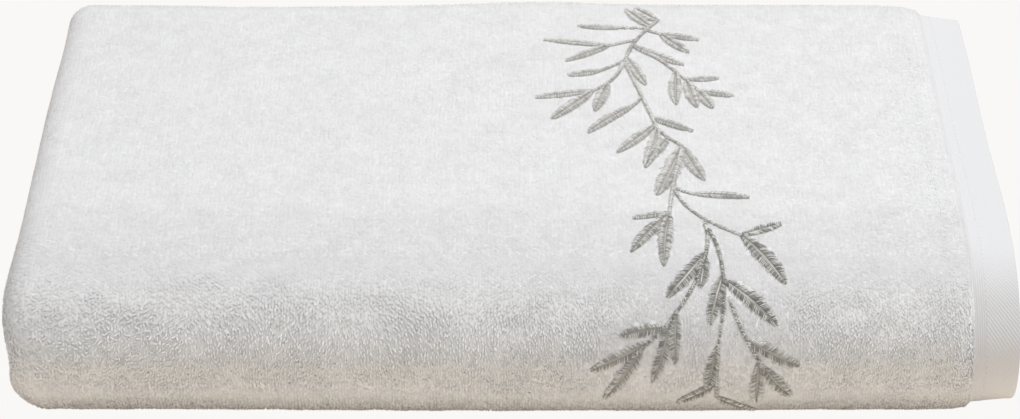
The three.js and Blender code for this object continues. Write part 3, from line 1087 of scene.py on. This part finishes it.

# %% [markdown]
# White loops differ little in tone, but with no difference at all a pile looks like plaster. Each
# loop gets a random tone of its own, with more spread where the loops stand open, most of it under
# the nose of the fold, and less beside the hem; the wider spread is partly painted light and
# shade, for open loops of which some are lit and some are not. A few loops of the foot are darkened,
# as painted shadow where the towel meets the floor. Open loops are painted paler, and their tips
# palest, as painted light that reaches them from all sides; a short table says what share of that
# painted light there is at distances in millimetres past the edge of the level top.

# %% Tones of the loops
LEAST_SPREAD = 0.15
OPEN_SPREAD = 0.3
APART_SPREAD = 0.4
NOSE_SPREAD = 0.95
UNDER_NOSE = (50 * mm, 60 * mm)
CALM_EDGE = 0.3
CALM_EDGE_SPAN = (3 * mm, 16 * mm)
FOOT_SHADE = 2.2
FEW_DARK = 5
SHADED_FOOT = (76 * mm, 96 * mm)
SHADED_FOOT_FADE = 6 * mm
LIGHT_ON_FRONT = [
    dict(past=34, share=1.15),
    dict(past=46, share=0.5),
    dict(past=56, share=0.75),
    dict(past=64, share=1.15),
]


def light_share(past):
    """The share of painted light on open loops at a distance past the edge of the level top."""
    rows = LIGHT_ON_FRONT
    return np.interp(past / mm, [row["past"] for row in rows], [row["share"] for row in rows])


def loop_tones(along, down, opened, tip, paler, random):
    """A tone for every vertex of the loops, random tone with painted light and shade: plus is paler,
    minus is deeper.
    """
    past = down - TOP_SPAN[1]
    apart = opened**3
    under_nose = soft_step(past, *UNDER_NOSE) * opened
    # A random tone for each loop; its wider spread on open loops and under the nose is partly painted
    # light and shade.
    own = LEAST_SPREAD + OPEN_SPREAD * opened + APART_SPREAD * apart + NOSE_SPREAD * under_nose
    own = own * (CALM_EDGE + (1 - CALM_EDGE) * soft_step(along - PILE_START, *CALM_EDGE_SPAN))
    own = own * random.uniform(-1, 1, along.shape)
    # Painted shadow: a few loops along the foot, where the towel meets the floor, are darkened.
    dark_few = random.uniform(0, 1, along.shape) ** FEW_DARK
    own -= FOOT_SHADE * inside(past, SHADED_FOOT, SHADED_FOOT_FADE) * dark_few
    # Painted shade where the level top turns over into the front.
    own -= painted_edge_shade(down)
    # Painted light: open loops, and most of all their tips, are made paler.
    lit = (opened + apart * tip) * light_share(past)
    return (paler + own + lit).ravel()


print("light on the front in", len(LIGHT_ON_FRONT), "rows")

# %% [markdown]
# One function raises the loops of a zone, a stretch of the flat towel small enough that its loops
# stay under the limit of triangles for one piece. Light wanders through white cotton and fills the
# dark sides of its loops. That is costly to trace, so each loop borrows part of its shading
# direction from the cloth below it instead. Open tips are then turned towards the sky, and a
# little towards the floor where they face down.

# %% The function that raises loops
ALONG_JITTER = 0.16
DOWN_JITTER = 0.3
WIDTH_VARIES = 0.16
REACH_VARIES = 0.22
LIFT_VARIES = 0.7
LIFT_SEED = 5
LEAST_LEAN = 0.12
OPEN_LEAN = 0.25
LOOSE_FROM = (24 * mm, 46 * mm)
LOOSE_UNTIL = (62 * mm, 76 * mm)
LEAST_PILE = 0.4
PRESSED_SOFTNESS = 0.85
OPEN_SOFTNESS = 0.45
TIP_TURN = 3
TIP_TURN_AT_LEVEL = 0.2
TIP_TURN_RANGE = (-0.3, 1)

pieces_made = []


def tips_turned(normals, share):
    """Shading directions of open tips, turned by a share towards the sky or the floor."""
    turn = np.clip(TIP_TURN * normals[:, 2] + TIP_TURN_AT_LEVEL, *TIP_TURN_RANGE)
    normals[:, 2] += share * turn
    return normals / np.linalg.norm(normals, axis=1)[:, None]


def raise_loops(name, along_span, down_span, seed, spacing=LOOP_SPACING, size=1.0, loose=1.0,
                paler=0.0, open_softness=OPEN_SOFTNESS):
    """The loops of one zone as a single piece."""
    random = np.random.default_rng(seed)
    spans = np.array([along_span, down_span])
    counts = np.maximum(1, np.rint((spans[:, 1] - spans[:, 0]) / spacing).astype(int))
    pitches = (spans[:, 1] - spans[:, 0]) / counts
    spindle = unit_spindle(LOOP_SIDES, LOOP_RINGS)
    local = coordinates(spindle)
    mesh = repeated(spindle, counts, pitches)
    origin = coordinates(mesh).reshape(-1, len(local), 3)[:, 0] - local[0]
    number = len(origin)

    def vary(share):
        return 1 + share * random.uniform(-1, 1, (number, 1))

    def jitter(share, pitch):
        return share * pitch * random.uniform(-1, 1, (number, 1))

    along = origin[:, :1] + spans[0, 0] + pitches[0] / 2 + jitter(ALONG_JITTER, pitches[0])
    stagger = np.rint(origin[:, :1] / pitches[0]) % 2 / 2
    down = origin[:, 1:2] + spans[1, 0] + pitches[1] * stagger + jitter(DOWN_JITTER, pitches[1])
    past = down - TOP_SPAN[1]
    on_front = soft_step(past, *LOOSE_FROM) * (1 - soft_step(past, *LOOSE_UNTIL))
    loose = 1 + (loose - 1) * on_front
    opened = openness(along, down)
    width = loop_size("width", opened) * size * vary(WIDTH_VARIES)
    tall = loop_size("tall", opened) * size
    reach = loop_size("reach", opened) * size * vary(REACH_VARIES)
    uneven_lift = random.uniform(-LIFT_VARIES, LIFT_VARIES, (number, 1))
    lift = loop_size("wander", opened) * (soft_noise(along, down, TUFT, LIFT_SEED) + uneven_lift)
    turn = lay_of_pile(along, down, random) * loose
    lean = (LEAST_LEAN + OPEN_LEAN * opened) * mm * random.normal(size=(number, 2)) * loose

    across, lengthwise, up = local.T
    arch = 1 - lengthwise**2
    tip = arch / arch.max()
    beside = width * across
    along_loop = reach * lengthwise
    flat_along = along + np.cos(turn) * beside - np.sin(turn) * along_loop + lean[:, :1] * arch
    flat_down = down + np.sin(turn) * beside + np.cos(turn) * along_loop + lean[:, 1:] * arch
    foot = ground(along, down) - LOOP_SINK
    pile = pile_depth(along, down) * size
    height = foot + (LOOP_SINK + pile - tall + lift) * tip + tall * up
    set_folded(mesh, flat_along, flat_down, height)
    point_values(mesh, "tone", loop_tones(along, down, opened, tip, paler * on_front, random))
    kept = (pile_share(along, down)[:, 0] > LEAST_PILE) & ~under_stitches(along, down)[:, 0]
    keep_only(mesh, np.repeat(kept, len(local)))
    apart = opened**3
    softness = PRESSED_SOFTNESS + (open_softness - PRESSED_SOFTNESS) * apart[kept]
    normals = cloth_normals(flat_along[kept], flat_down[kept], height[kept]).reshape(-1, 3)
    normals = tips_turned(normals, (apart * tip)[kept].ravel())
    soften(smooth_shaded(mesh), normals, np.repeat(softness, len(local), axis=0))
    piece = new_object(name, mesh)
    pieces_made.append(piece)
    print(name, int(kept.sum()), "loops", len(mesh.polygons), "triangles")
    return piece


print("pile in mm: pressed", PRESSED_DEPTH / mm, "high, open", OPEN_DEPTH / mm, "high")

# %% [markdown]
# The zones follow the folds: two halves of the level top and two of the front, the back fold, the
# folded end, and the tight fold at the right. The right half of the front has the finest loops. One
# more narrow row stands beside the hem, where the first loops of the pile are looser and paler.

# %% Raise the pile, zone by zone
MIDDLE = (PILE_START + RUN_END) / 2
RIGHT_HALF = (PILE_START, MIDDLE)
LEFT_HALF = (MIDDLE, RUN_END)
EDGE_ROW = (PILE_START + 0.4 * mm, PILE_START + 2.6 * mm)
FOLDED_END = (RUN_END, FOLD_END + 2 * mm)
FRONT_DOWN = (TOP_SPAN[1] + OPEN_FROM[0], PILE_DOWN[1])
TOP_DOWN = (TOP_SPAN[0], FRONT_DOWN[0])
BACK_DOWN = (PILE_DOWN[0], TOP_SPAN[0])

raise_loops("pile_top_left", LEFT_HALF, TOP_DOWN, 21)
raise_loops("pile_top_right", RIGHT_HALF, TOP_DOWN, 22)
raise_loops("pile_front_left", LEFT_HALF, FRONT_DOWN, 23, spacing=FRONT_SPACING)
raise_loops("pile_front_right", RIGHT_HALF, FRONT_DOWN, 24, spacing=FINE_SPACING, size=0.88)
raise_loops("pile_back", (PILE_START, RUN_END), BACK_DOWN, 25)
raise_loops("pile_folded_end", FOLDED_END, SIDE_DOWN, 26)
raise_loops("pile_tight_fold", TIGHT_SPAN, SIDE_DOWN, 27)
raise_loops("pile_edge_row", EDGE_ROW, PILE_DOWN, 28, spacing=EDGE_SPACING, size=1.1, loose=1.6,
            paler=1.1, open_softness=0.8)
print(len(pieces_made), "stretches of pile")

# %% [markdown]
# A stitch is the same spindle, stretched between the two holes it was sewn through and arched over
# what lies under it. One function lays any number of them between places on the flat towel, for
# the embroidery and for the hem.

# %% The function that lays stitches
STITCH_SIDES = 3
STITCH_RINGS = 4
COPY_PITCH = 3  # spindles are 2 wide and long, so copies don't touch before they are placed
THREAD_SOFTNESS = 0.15


def lay_stitches(name, starts, ends, radius, foot, rise, tones):
    """Stitches between flat places, as one piece. Places are rows of along and down in metres."""
    spindle = unit_spindle(STITCH_SIDES, STITCH_RINGS)
    local = coordinates(spindle)
    mesh = repeated(spindle, (len(starts),), (COPY_PITCH,))
    across, lengthwise, up = local.T
    direction = ends - starts
    direction = direction / np.linalg.norm(direction, axis=1)[:, None]
    share = (lengthwise + 1) / 2
    along, down = (
        starts[:, n:n + 1] + (ends - starts)[:, n:n + 1] * share
        + side * direction[:, 1 - n:2 - n] * radius * across
        for n, side in ((0, 1), (1, -1))
    )
    height = ground(along, down) + foot + rise * (1 - lengthwise**2) + radius * up
    set_folded(mesh, along, down, height)
    point_values(mesh, "tone", np.repeat(tones, len(local)))
    normals = cloth_normals(along, down, height).reshape(-1, 3)
    soften(smooth_shaded(mesh), normals, THREAD_SOFTNESS)
    print(name, len(starts), "stitches", len(mesh.polygons), "triangles")
    return new_object(name, mesh)


def flat_rows(places):
    """Rows of x and down in millimetres as rows of along and down on the flat towel."""
    return np.column_stack(shown(places[:, 0], places[:, 1]))


first_stem = flat_rows(np.array([STEMS[0]["start"]]))[0]
print("the first stem starts at", first_stem.round(3), "m along and down the flat towel")

# %% [markdown]
# A satin leaf is two combs of short stitches, one on each side of its midrib. They lean a little
# towards the tip, and their outer ends are ragged. A stem is one row of still shorter stitches that
# slant to and fro. Both are worked out in millimetres across and down, like the sprigs.

# %% Where the stitches of leaves and stems go
LEAF_PITCH = 0.63
LEAF_LAST = 0.97
LEAF_LEAST = 0.25
LEAF_SLANT = 0.45
LEAF_RAGGED = 0.2
SLANT_VARIES = 0.2
MIDRIB = 0.06
STEM_PITCH = 0.56
STEM_RAGGED = 0.32
STEM_SLANTS = (0.88, -0.352)


def along_arc(shape, row, shares):
    """Places along a stem or a leaf, and the directions forward and aside there."""
    places, headings = shape(row, shares)
    forward = np.column_stack([np.sin(headings), np.cos(headings)])
    aside = np.column_stack([np.cos(headings), -np.sin(headings)])
    return places, forward, aside


def leaf_stitches(row, random):
    """Starts and ends of a leaf's stitches."""
    count = int(row["length"] / LEAF_PITCH)
    shares = np.linspace(0, LEAF_LAST, count)
    places, forward, aside = along_arc(leaf_arc, row, shares)
    half_width = row["width"] / 2 * np.maximum(leaf_half_width(shares), LEAF_LEAST)
    starts, ends = [], []
    for side in (-1, 1):
        ragged = half_width * (1 + LEAF_RAGGED * random.uniform(-1, 1, count))
        slant = LEAF_SLANT * ragged * (1 + SLANT_VARIES * random.uniform(-1, 1, count))
        starts.append(places + side * MIDRIB * half_width[:, None] * aside)
        ends.append(places + side * ragged[:, None] * aside + slant[:, None] * forward)
    return np.vstack(starts), np.vstack(ends)


def stem_stitches(row, random):
    """Starts and ends of a stem's stitches."""
    count = int(row["length"] / STEM_PITCH) + 1
    places, forward, aside = along_arc(stem_arc, row, np.linspace(0, 1, count))
    half_width = STEM_WIDTH / 2 * (1 + STEM_RAGGED * random.uniform(-1, 1, (count, 1)))
    slant = np.where(np.arange(count) % 2, *STEM_SLANTS)[:, None] * half_width
    reach = half_width * aside + slant * forward
    return places - reach, places + reach


print("stitches in the first leaf:", len(leaf_stitches(LEAVES[0], np.random.default_rng(0))[0]))

# %% [markdown]
# The thread is one silver grey, but each stitch catches the light in its own way, so it is drawn
# towards one of two tones: painted highlight and painted shade. On the front the two lie further
# apart and both are deeper, as painted shade, except low down, where painted light stands for the
# light that comes back from the floor. Under each leaf and stem lies a flattened spindle, the
# padding, which lifts the stitches; its deeper tone is painted shade in the gaps between them.

# %% Embroider the sprigs
THREAD_RADIUS = 0.22 * mm
STITCH_FOOT = 0.25 * mm
STITCH_RISE = 0.75 * mm
THREAD_TONE = 0.82
ROW_SPREAD = 0.3
STEM_DEEPER = 0.15
FRONT_FROM = (120, 200)
FRONT_PAINTED_SHADE = -0.3
FRONT_SPREAD = 1.1
LOW_FROM = (205, 232)
LOW_PAINTED_LIGHT = 0.5
PAD_SIDES = 6
PAD_STEPS = 40
PAD_HEIGHT = 0.4 * mm
PAD_SHARE = 0.8
PAD_PAINTED_SHADE = -0.5
PAD_FRONT_PAINTED_SHADE = -0.6


def on_front_share(row):
    """How far a stem or leaf starts down on the front: 0 on the top, 1 on the front."""
    return soft_step(row["start"][1], *FRONT_FROM)


def sew(name, rows, stitches, seed):
    """All stitches of stems or of leaves as one piece, each row in its own tone."""
    random = np.random.default_rng(seed)
    starts, ends, tones = [], [], []
    for row in rows:
        row_starts, row_ends = stitches(row, random)
        starts.append(row_starts)
        ends.append(row_ends)
        front = on_front_share(row)
        own = random.uniform(-ROW_SPREAD, ROW_SPREAD) - (STEM_DEEPER if "leaves" in row else 0)
        low = soft_step(row["start"][1], *LOW_FROM)
        # Painted shade on the front, and painted light low down for the light from the floor.
        own += FRONT_PAINTED_SHADE * front + LOW_PAINTED_LIGHT * low + THREAD_TONE
        # Painted highlights and painted shade: each stitch is drawn towards a pale or a deep tone.
        # The sine draws most of the even random numbers towards -1 or 1.
        two_tone = np.sin(random.uniform(-1, 1, len(row_starts)) * math.pi / 2)
        tones.append(own + (1 + FRONT_SPREAD * front) * two_tone)
    return lay_stitches(name, flat_rows(np.vstack(starts)), flat_rows(np.vstack(ends)),
                        THREAD_RADIUS, STITCH_FOOT, STITCH_RISE, np.concatenate(tones))


def lay_padding(name, rows, shape, rings):
    """The padding under stems or leaves: a flattened spindle along each, as one piece, in a deeper tone
    of painted shade.
    """
    spindle = unit_spindle(PAD_SIDES, rings)
    local = coordinates(spindle)
    mesh = repeated(spindle, (len(rows),), (COPY_PITCH,))
    shares = (local[:, 1] + 1) / 2
    line = np.linspace(0, 1, PAD_STEPS)
    flat, tones = [], []
    for row in rows:
        spine, headings = shape(row, line)
        x, down, heading = (np.interp(shares, line, v) for v in (*spine.T, headings))
        offset = PAD_SHARE * row.get("width", STEM_WIDTH) / 2 * local[:, 0]
        flat.append(shown(x + offset * np.cos(heading), down - offset * np.sin(heading)))
        # The padding's deeper tone is painted shade in the gaps between the stitches, deeper still on
        # the front.
        tones.append(np.full(len(local), PAD_PAINTED_SHADE + PAD_FRONT_PAINTED_SHADE * on_front_share(row)))
    along, down = np.concatenate(flat, axis=1)
    height = ground(along, down) + PAD_HEIGHT * np.tile(local[:, 2], len(rows))
    set_folded(mesh, along, down, height)
    point_values(mesh, "tone", np.concatenate(tones))
    print(name, len(rows), "pads", len(mesh.polygons), "triangles")
    return new_object(name, smooth_shaded(mesh))


thread_pieces = [
    lay_padding("leaf_padding", LEAVES, leaf_arc, rings=10),
    lay_padding("stem_padding", STEMS, stem_arc, rings=20),
    sew("leaf_stitches", LEAVES, leaf_stitches, 31),
    sew("stem_stitches", STEMS, stem_stitches, 32),
]

# %% [markdown]
# The hem is turned over and held by one row of stitches, with a narrow plain strip between them
# and the pile. They are white like the cloth and pulled tight, so they lie almost flat.

# %% Sew the hem
HEM_SEAM = 11.6 * mm
SEAM_STEP = 2.7 * mm
SEAM_STITCH = 2.1 * mm
SEAM_RADIUS = 0.24 * mm
SEAM_FOOT = -0.22 * mm
SEAM_RISE = 0.24 * mm

seam_down = np.arange(*SIDE_DOWN, SEAM_STEP)
seam_start = np.column_stack([np.full(len(seam_down), HEM_SEAM), seam_down])
seam_end = seam_start + (0, SEAM_STITCH)
pieces_made.append(lay_stitches("hem_seam", seam_start, seam_end, SEAM_RADIUS, SEAM_FOOT,
                                SEAM_RISE, np.zeros(len(seam_down))))

# %% [markdown]
# The materials share three groups of nodes. A group is built once, with named sockets, and each
# material sets its own values on it. These helpers keep the trees short: a sum, a wave, a mix of
# two colours, a new group, a group put to use, and a number read from the vertices of a mesh.

# %% Helpers for groups and materials
def calculate(tree, operation, *values):
    """A math node's result."""
    return add(tree, "Math", dict(enumerate(values)), operation=operation).outputs[0]


def wave(tree, value, pitch):
    """A sine that repeats each time the value has grown by the pitch."""
    return calculate(tree, "SINE", calculate(tree, "MULTIPLY", value, 2 * math.pi / pitch))


def mix_colours(tree, factor, first, second):
    """The first colour at 0, the second at 1."""
    return add(tree, "Mix", {0: factor, 6: first, 7: second}, data_type="RGBA").outputs[2]


def mix_values(tree, factor, first, second):
    """The first value at 0, the second at 1."""
    return add(tree, "Mix", {0: factor, 2: first, 3: second}, data_type="FLOAT").outputs[0]


def new_group(name, inputs, outputs):
    """An empty group with named sockets. Inputs and outputs give the kind for each name."""
    tree = bpy.data.node_groups.new(name, "ShaderNodeTree")
    for socket, kind in inputs.items():
        tree.interface.new_socket(socket, in_out="INPUT", socket_type="NodeSocket" + kind)
    for socket, kind in outputs.items():
        tree.interface.new_socket(socket, in_out="OUTPUT", socket_type="NodeSocket" + kind)
    return tree, tree.nodes.new("NodeGroupInput").outputs, tree.nodes.new("NodeGroupOutput").inputs


def use_group(tree, group, inputs):
    """The outputs of a group placed in a tree."""
    return add(tree, "Group", inputs, node_tree=group).outputs


def attribute(tree, name):
    """A number that the mesh keeps for each vertex."""
    return add(tree, "Attribute", attribute_name=name, attribute_type="GEOMETRY").outputs["Fac"]


print("groups so far:", len(bpy.data.node_groups))

# %% [markdown]
# The first group wanders a colour gently over the cloth, as bleached cotton does, and shifts it by
# each loop's or stitch's own tone. The second twists yarn: fine ridges that run round a spindle as
# they go along it, drawn on the map that the spindle carries.

# %% Groups for the tone and the twist
WANDER_DETAIL = 6
WANDER_ROUGHNESS = 0.74
WANDER_SHARE = 0.5
WANDER_FROM = 0.25
TONE_SHARE = -0.32
TWIST_STRENGTH = 0.6

tone_group, given, result = new_group(
    "wandering_tone",
    {"Position": "Vector", "Pale": "Color", "Deep": "Color", "Tone": "Float", "Patch": "Float"},
    {"Color": "Color"},
)
patches = add(tone_group, "TexNoise", {"Vector": given["Position"], "Scale": given["Patch"],
                                       "Detail": WANDER_DETAIL, "Roughness": WANDER_ROUGHNESS})
wander = calculate(tone_group, "MULTIPLY_ADD", patches.outputs["Fac"], WANDER_SHARE, WANDER_FROM)
depth = calculate(tone_group, "MULTIPLY_ADD", given["Tone"], TONE_SHARE, wander)
limited = add(tone_group, "Clamp", {"Value": depth}).outputs[0]
toned_colour = mix_colours(tone_group, limited, given["Pale"], given["Deep"])
tone_group.links.new(toned_colour, result["Color"])

twist_group, given, result = new_group(
    "yarn_twist", {"Yarn": "Vector", "Turns": "Float", "Ridges": "Float", "Depth": "Float"},
    {"Normal": "Vector"},
)
yarn = add(twist_group, "SeparateXYZ", {"Vector": given["Yarn"]}).outputs
going_round = calculate(twist_group, "MULTIPLY", yarn["X"], given["Ridges"])
phase = calculate(twist_group, "MULTIPLY_ADD", yarn["Y"], given["Turns"], going_round)
ridges = add(twist_group, "Bump", {"Height": wave(twist_group, phase, 1),
                                   "Strength": TWIST_STRENGTH, "Distance": given["Depth"]})
twist_group.links.new(ridges.outputs["Normal"], result["Normal"])
print("groups:", [g.name for g in bpy.data.node_groups])

# %% [markdown]
# The third group weaves the flat hem, from the map of the flat towel that the sheet carries, so
# that its weave runs true round the folds. Outside the seam it is a slanting twill, and in the
# narrow strip between the seam and the pile it is plain. Finer threads cross both.

# %% Group for the weave of the hem
TWILL_PITCH = 1.0 * mm
TWILL_ANGLE = math.radians(50)
PLAIN_PITCH = 0.8 * mm
PLAIN_FROM = HEM_SEAM + 0.3 * mm
CROSS_PITCH = 0.5 * mm
CROSS_SHARE = 0.2

weave_group, given, result = new_group("hem_weave", {"Flat": "Vector"}, {"Height": "Float"})
flat_place = add(weave_group, "SeparateXYZ", {"Vector": given["Flat"]}).outputs
turns_per_metre = 2 * math.pi / TWILL_PITCH
along_turns = turns_per_metre * math.sin(TWILL_ANGLE)
down_turns = turns_per_metre * math.cos(TWILL_ANGLE)
down_phase = calculate(weave_group, "MULTIPLY", flat_place["Y"], down_turns)
twill_phase = calculate(weave_group, "MULTIPLY_ADD", flat_place["X"], along_turns, down_phase)
twill = calculate(weave_group, "SINE", twill_phase)
plain = wave(weave_group, flat_place["X"], PLAIN_PITCH)
past_seam = calculate(weave_group, "GREATER_THAN", flat_place["X"], PLAIN_FROM)
crossing = wave(weave_group, flat_place["Y"], CROSS_PITCH)
crossing = calculate(weave_group, "MULTIPLY", crossing, CROSS_SHARE)
woven_height = calculate(weave_group, "ADD", mix_values(weave_group, past_seam, twill, plain), crossing)
weave_group.links.new(woven_height, result["Height"])
print("twill lines", round(TWILL_PITCH / mm, 1), "mm apart")

# %% [markdown]
# The loops and the ground cloth are the same cotton, but little light gets down between open
# loops, so the ground there is painted deeper and warmer, as painted shade. The embroidery is a
# lustrous thread: smoother, so that each stitch catches its own highlight. Both kinds of yarn take
# their colour and their ridges from the groups, and only their values differ.

# %% Materials of the yarns
LOOP_PALE = (0.96, 0.96, 0.955, 1)
LOOP_DEEP = (0.55, 0.545, 0.54, 1)
THREAD_PALE = (0.88, 0.865, 0.825, 1)
THREAD_DEEP = (0.27, 0.262, 0.235, 1)
COTTON_PATCH = 130
THREAD_PATCH = 60


def toned(tree, pale, deep, patch):
    """A colour that wanders between two, shifted by the mesh's own tone."""
    position = add(tree, "TexCoord").outputs["Object"]
    return use_group(tree, tone_group, {"Position": position, "Pale": pale, "Deep": deep,
                                        "Tone": attribute(tree, "tone"), "Patch": patch})["Color"]


def twisted(tree, turns, ridges, depth):
    """The direction of a surface with the ridges of twisted yarn."""
    yarn = add(tree, "UVMap", uv_map="yarn").outputs["UV"]
    return use_group(tree, twist_group, {"Yarn": yarn, "Turns": turns, "Ridges": ridges,
                                         "Depth": depth})["Normal"]


def surface(tree, output, inputs):
    """Ends a material's tree in its shader."""
    shader = add(tree, "BsdfPrincipled", inputs)
    tree.links.new(shader.outputs["BSDF"], output.inputs["Surface"])


def cotton_loops():
    """White cotton yarn with a faint bloom of fibres."""
    material, tree, output = new_material("cotton_loops")
    surface(tree, output, {
        "Base Color": toned(tree, LOOP_PALE, LOOP_DEEP, COTTON_PATCH),
        "Normal": twisted(tree, turns=5, ridges=2, depth=0.08 * mm),
        "Roughness": 0.9,
        "Sheen Weight": 0.15,
        "Sheen Roughness": 0.6,
        "Specular IOR Level": 0.2,
    })
    return material


def grey_thread():
    """Silver-grey embroidery thread with a soft lustre."""
    material, tree, output = new_material("grey_thread")
    surface(tree, output, {
        "Base Color": toned(tree, THREAD_PALE, THREAD_DEEP, THREAD_PATCH),
        "Normal": twisted(tree, turns=3, ridges=3, depth=0.05 * mm),
        "Roughness": 0.34,
        "Specular IOR Level": 0.7,
    })
    return material


for pieces, yarn_material in ((pieces_made, cotton_loops()), (thread_pieces, grey_thread())):
    for piece in pieces:
        piece.data.materials.append(yarn_material)
print("yarns:", len(pieces_made), "pieces of cotton,", len(thread_pieces), "of thread")

# %% [markdown]
# The sheet is ground cloth where loops stand and hem along its rim, so one material mixes the two
# by the number that its vertices keep. The ground has a fine fluff. The hem shows its weave, most
# of all in ribs where it bends over the front, with painted shade between the ribs, and painted
# shade makes it deeper where it slopes away from the light.

# %% Material of the sheet
GROUND_PALE = (0.93, 0.93, 0.925, 1)
GROUND_DEEP = (0.62, 0.62, 0.615, 1)
GROUND_OPEN_SHADE = (0.71, 0.7, 0.675, 1)
HEM_WHITE = (0.685, 0.685, 0.685, 1)
HEM_DEEP = (0.52, 0.51, 0.5, 1)
SLOPE_SHADE = 0.55
RIB_SHADE = -0.25
RIB_RELIEF = 0.7
WEAVE_RELIEF = 0.3
FLUFF_SCALE = 1400
FLUFF_DETAIL = 4
SHEET_BUMP = 0.7
SHEET_BUMP_DEPTH = 0.1 * mm


def hem_colour(tree, ribs):
    """The hem's white, with painted shade on the slope and between its ribs."""
    between_ribs = calculate(tree, "MULTIPLY", ribs, RIB_SHADE)
    deeper = calculate(tree, "MULTIPLY_ADD", attribute(tree, "slope"), SLOPE_SHADE, between_ribs)
    limited = add(tree, "Clamp", {"Value": deeper}).outputs[0]
    return mix_colours(tree, limited, HEM_WHITE, HEM_DEEP)


def cotton_ground():
    """The ground cloth under the loops, and the hem round it."""
    material, tree, output = new_material("cotton_ground")
    hem = attribute(tree, "hem")
    flat_map = add(tree, "UVMap", uv_map="flat_towel").outputs["UV"]
    woven = use_group(tree, weave_group, {"Flat": flat_map})["Height"]
    ribs = calculate(tree, "MULTIPLY", attribute(tree, "ribs"), woven)
    ground_colour = toned(tree, GROUND_PALE, GROUND_DEEP, COTTON_PATCH)
    # Painted shade on the ground between open loops.
    shaded = mix_colours(tree, attribute(tree, "open"), ground_colour, GROUND_OPEN_SHADE)
    position = add(tree, "TexCoord").outputs["Object"]
    fluff = add(tree, "TexNoise", {"Vector": position, "Scale": FLUFF_SCALE,
                                   "Detail": FLUFF_DETAIL}).outputs["Fac"]
    low_relief = calculate(tree, "MULTIPLY", woven, WEAVE_RELIEF)
    relief = calculate(tree, "MULTIPLY_ADD", ribs, RIB_RELIEF, low_relief)
    height = mix_values(tree, hem, fluff, relief)
    normal = add(tree, "Bump", {"Height": height, "Strength": SHEET_BUMP,
                                "Distance": SHEET_BUMP_DEPTH})
    surface(tree, output, {
        "Base Color": mix_colours(tree, hem, shaded, hem_colour(tree, ribs)),
        "Normal": normal.outputs["Normal"],
        "Roughness": 0.9,
        "Specular IOR Level": 0.2,
    })
    return material


cloth.data.materials.append(cotton_ground())
print("materials:", [m.name for m in bpy.data.materials])

# %% [markdown]
# Every piece rides on the one body of the towel. The cloth stands for the frame's solid, which is
# hidden.

# %% Join the pieces to the frame
for piece in (cloth, *pieces_made, *thread_pieces):
    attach(piece, "root")
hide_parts("towel")
count = {p.name: sum(len(f.vertices) - 2 for f in p.data.polygons)
         for p in (cloth, *pieces_made, *thread_pieces)}
print("triangles:", count, "in all", sum(count.values()))
low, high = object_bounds()
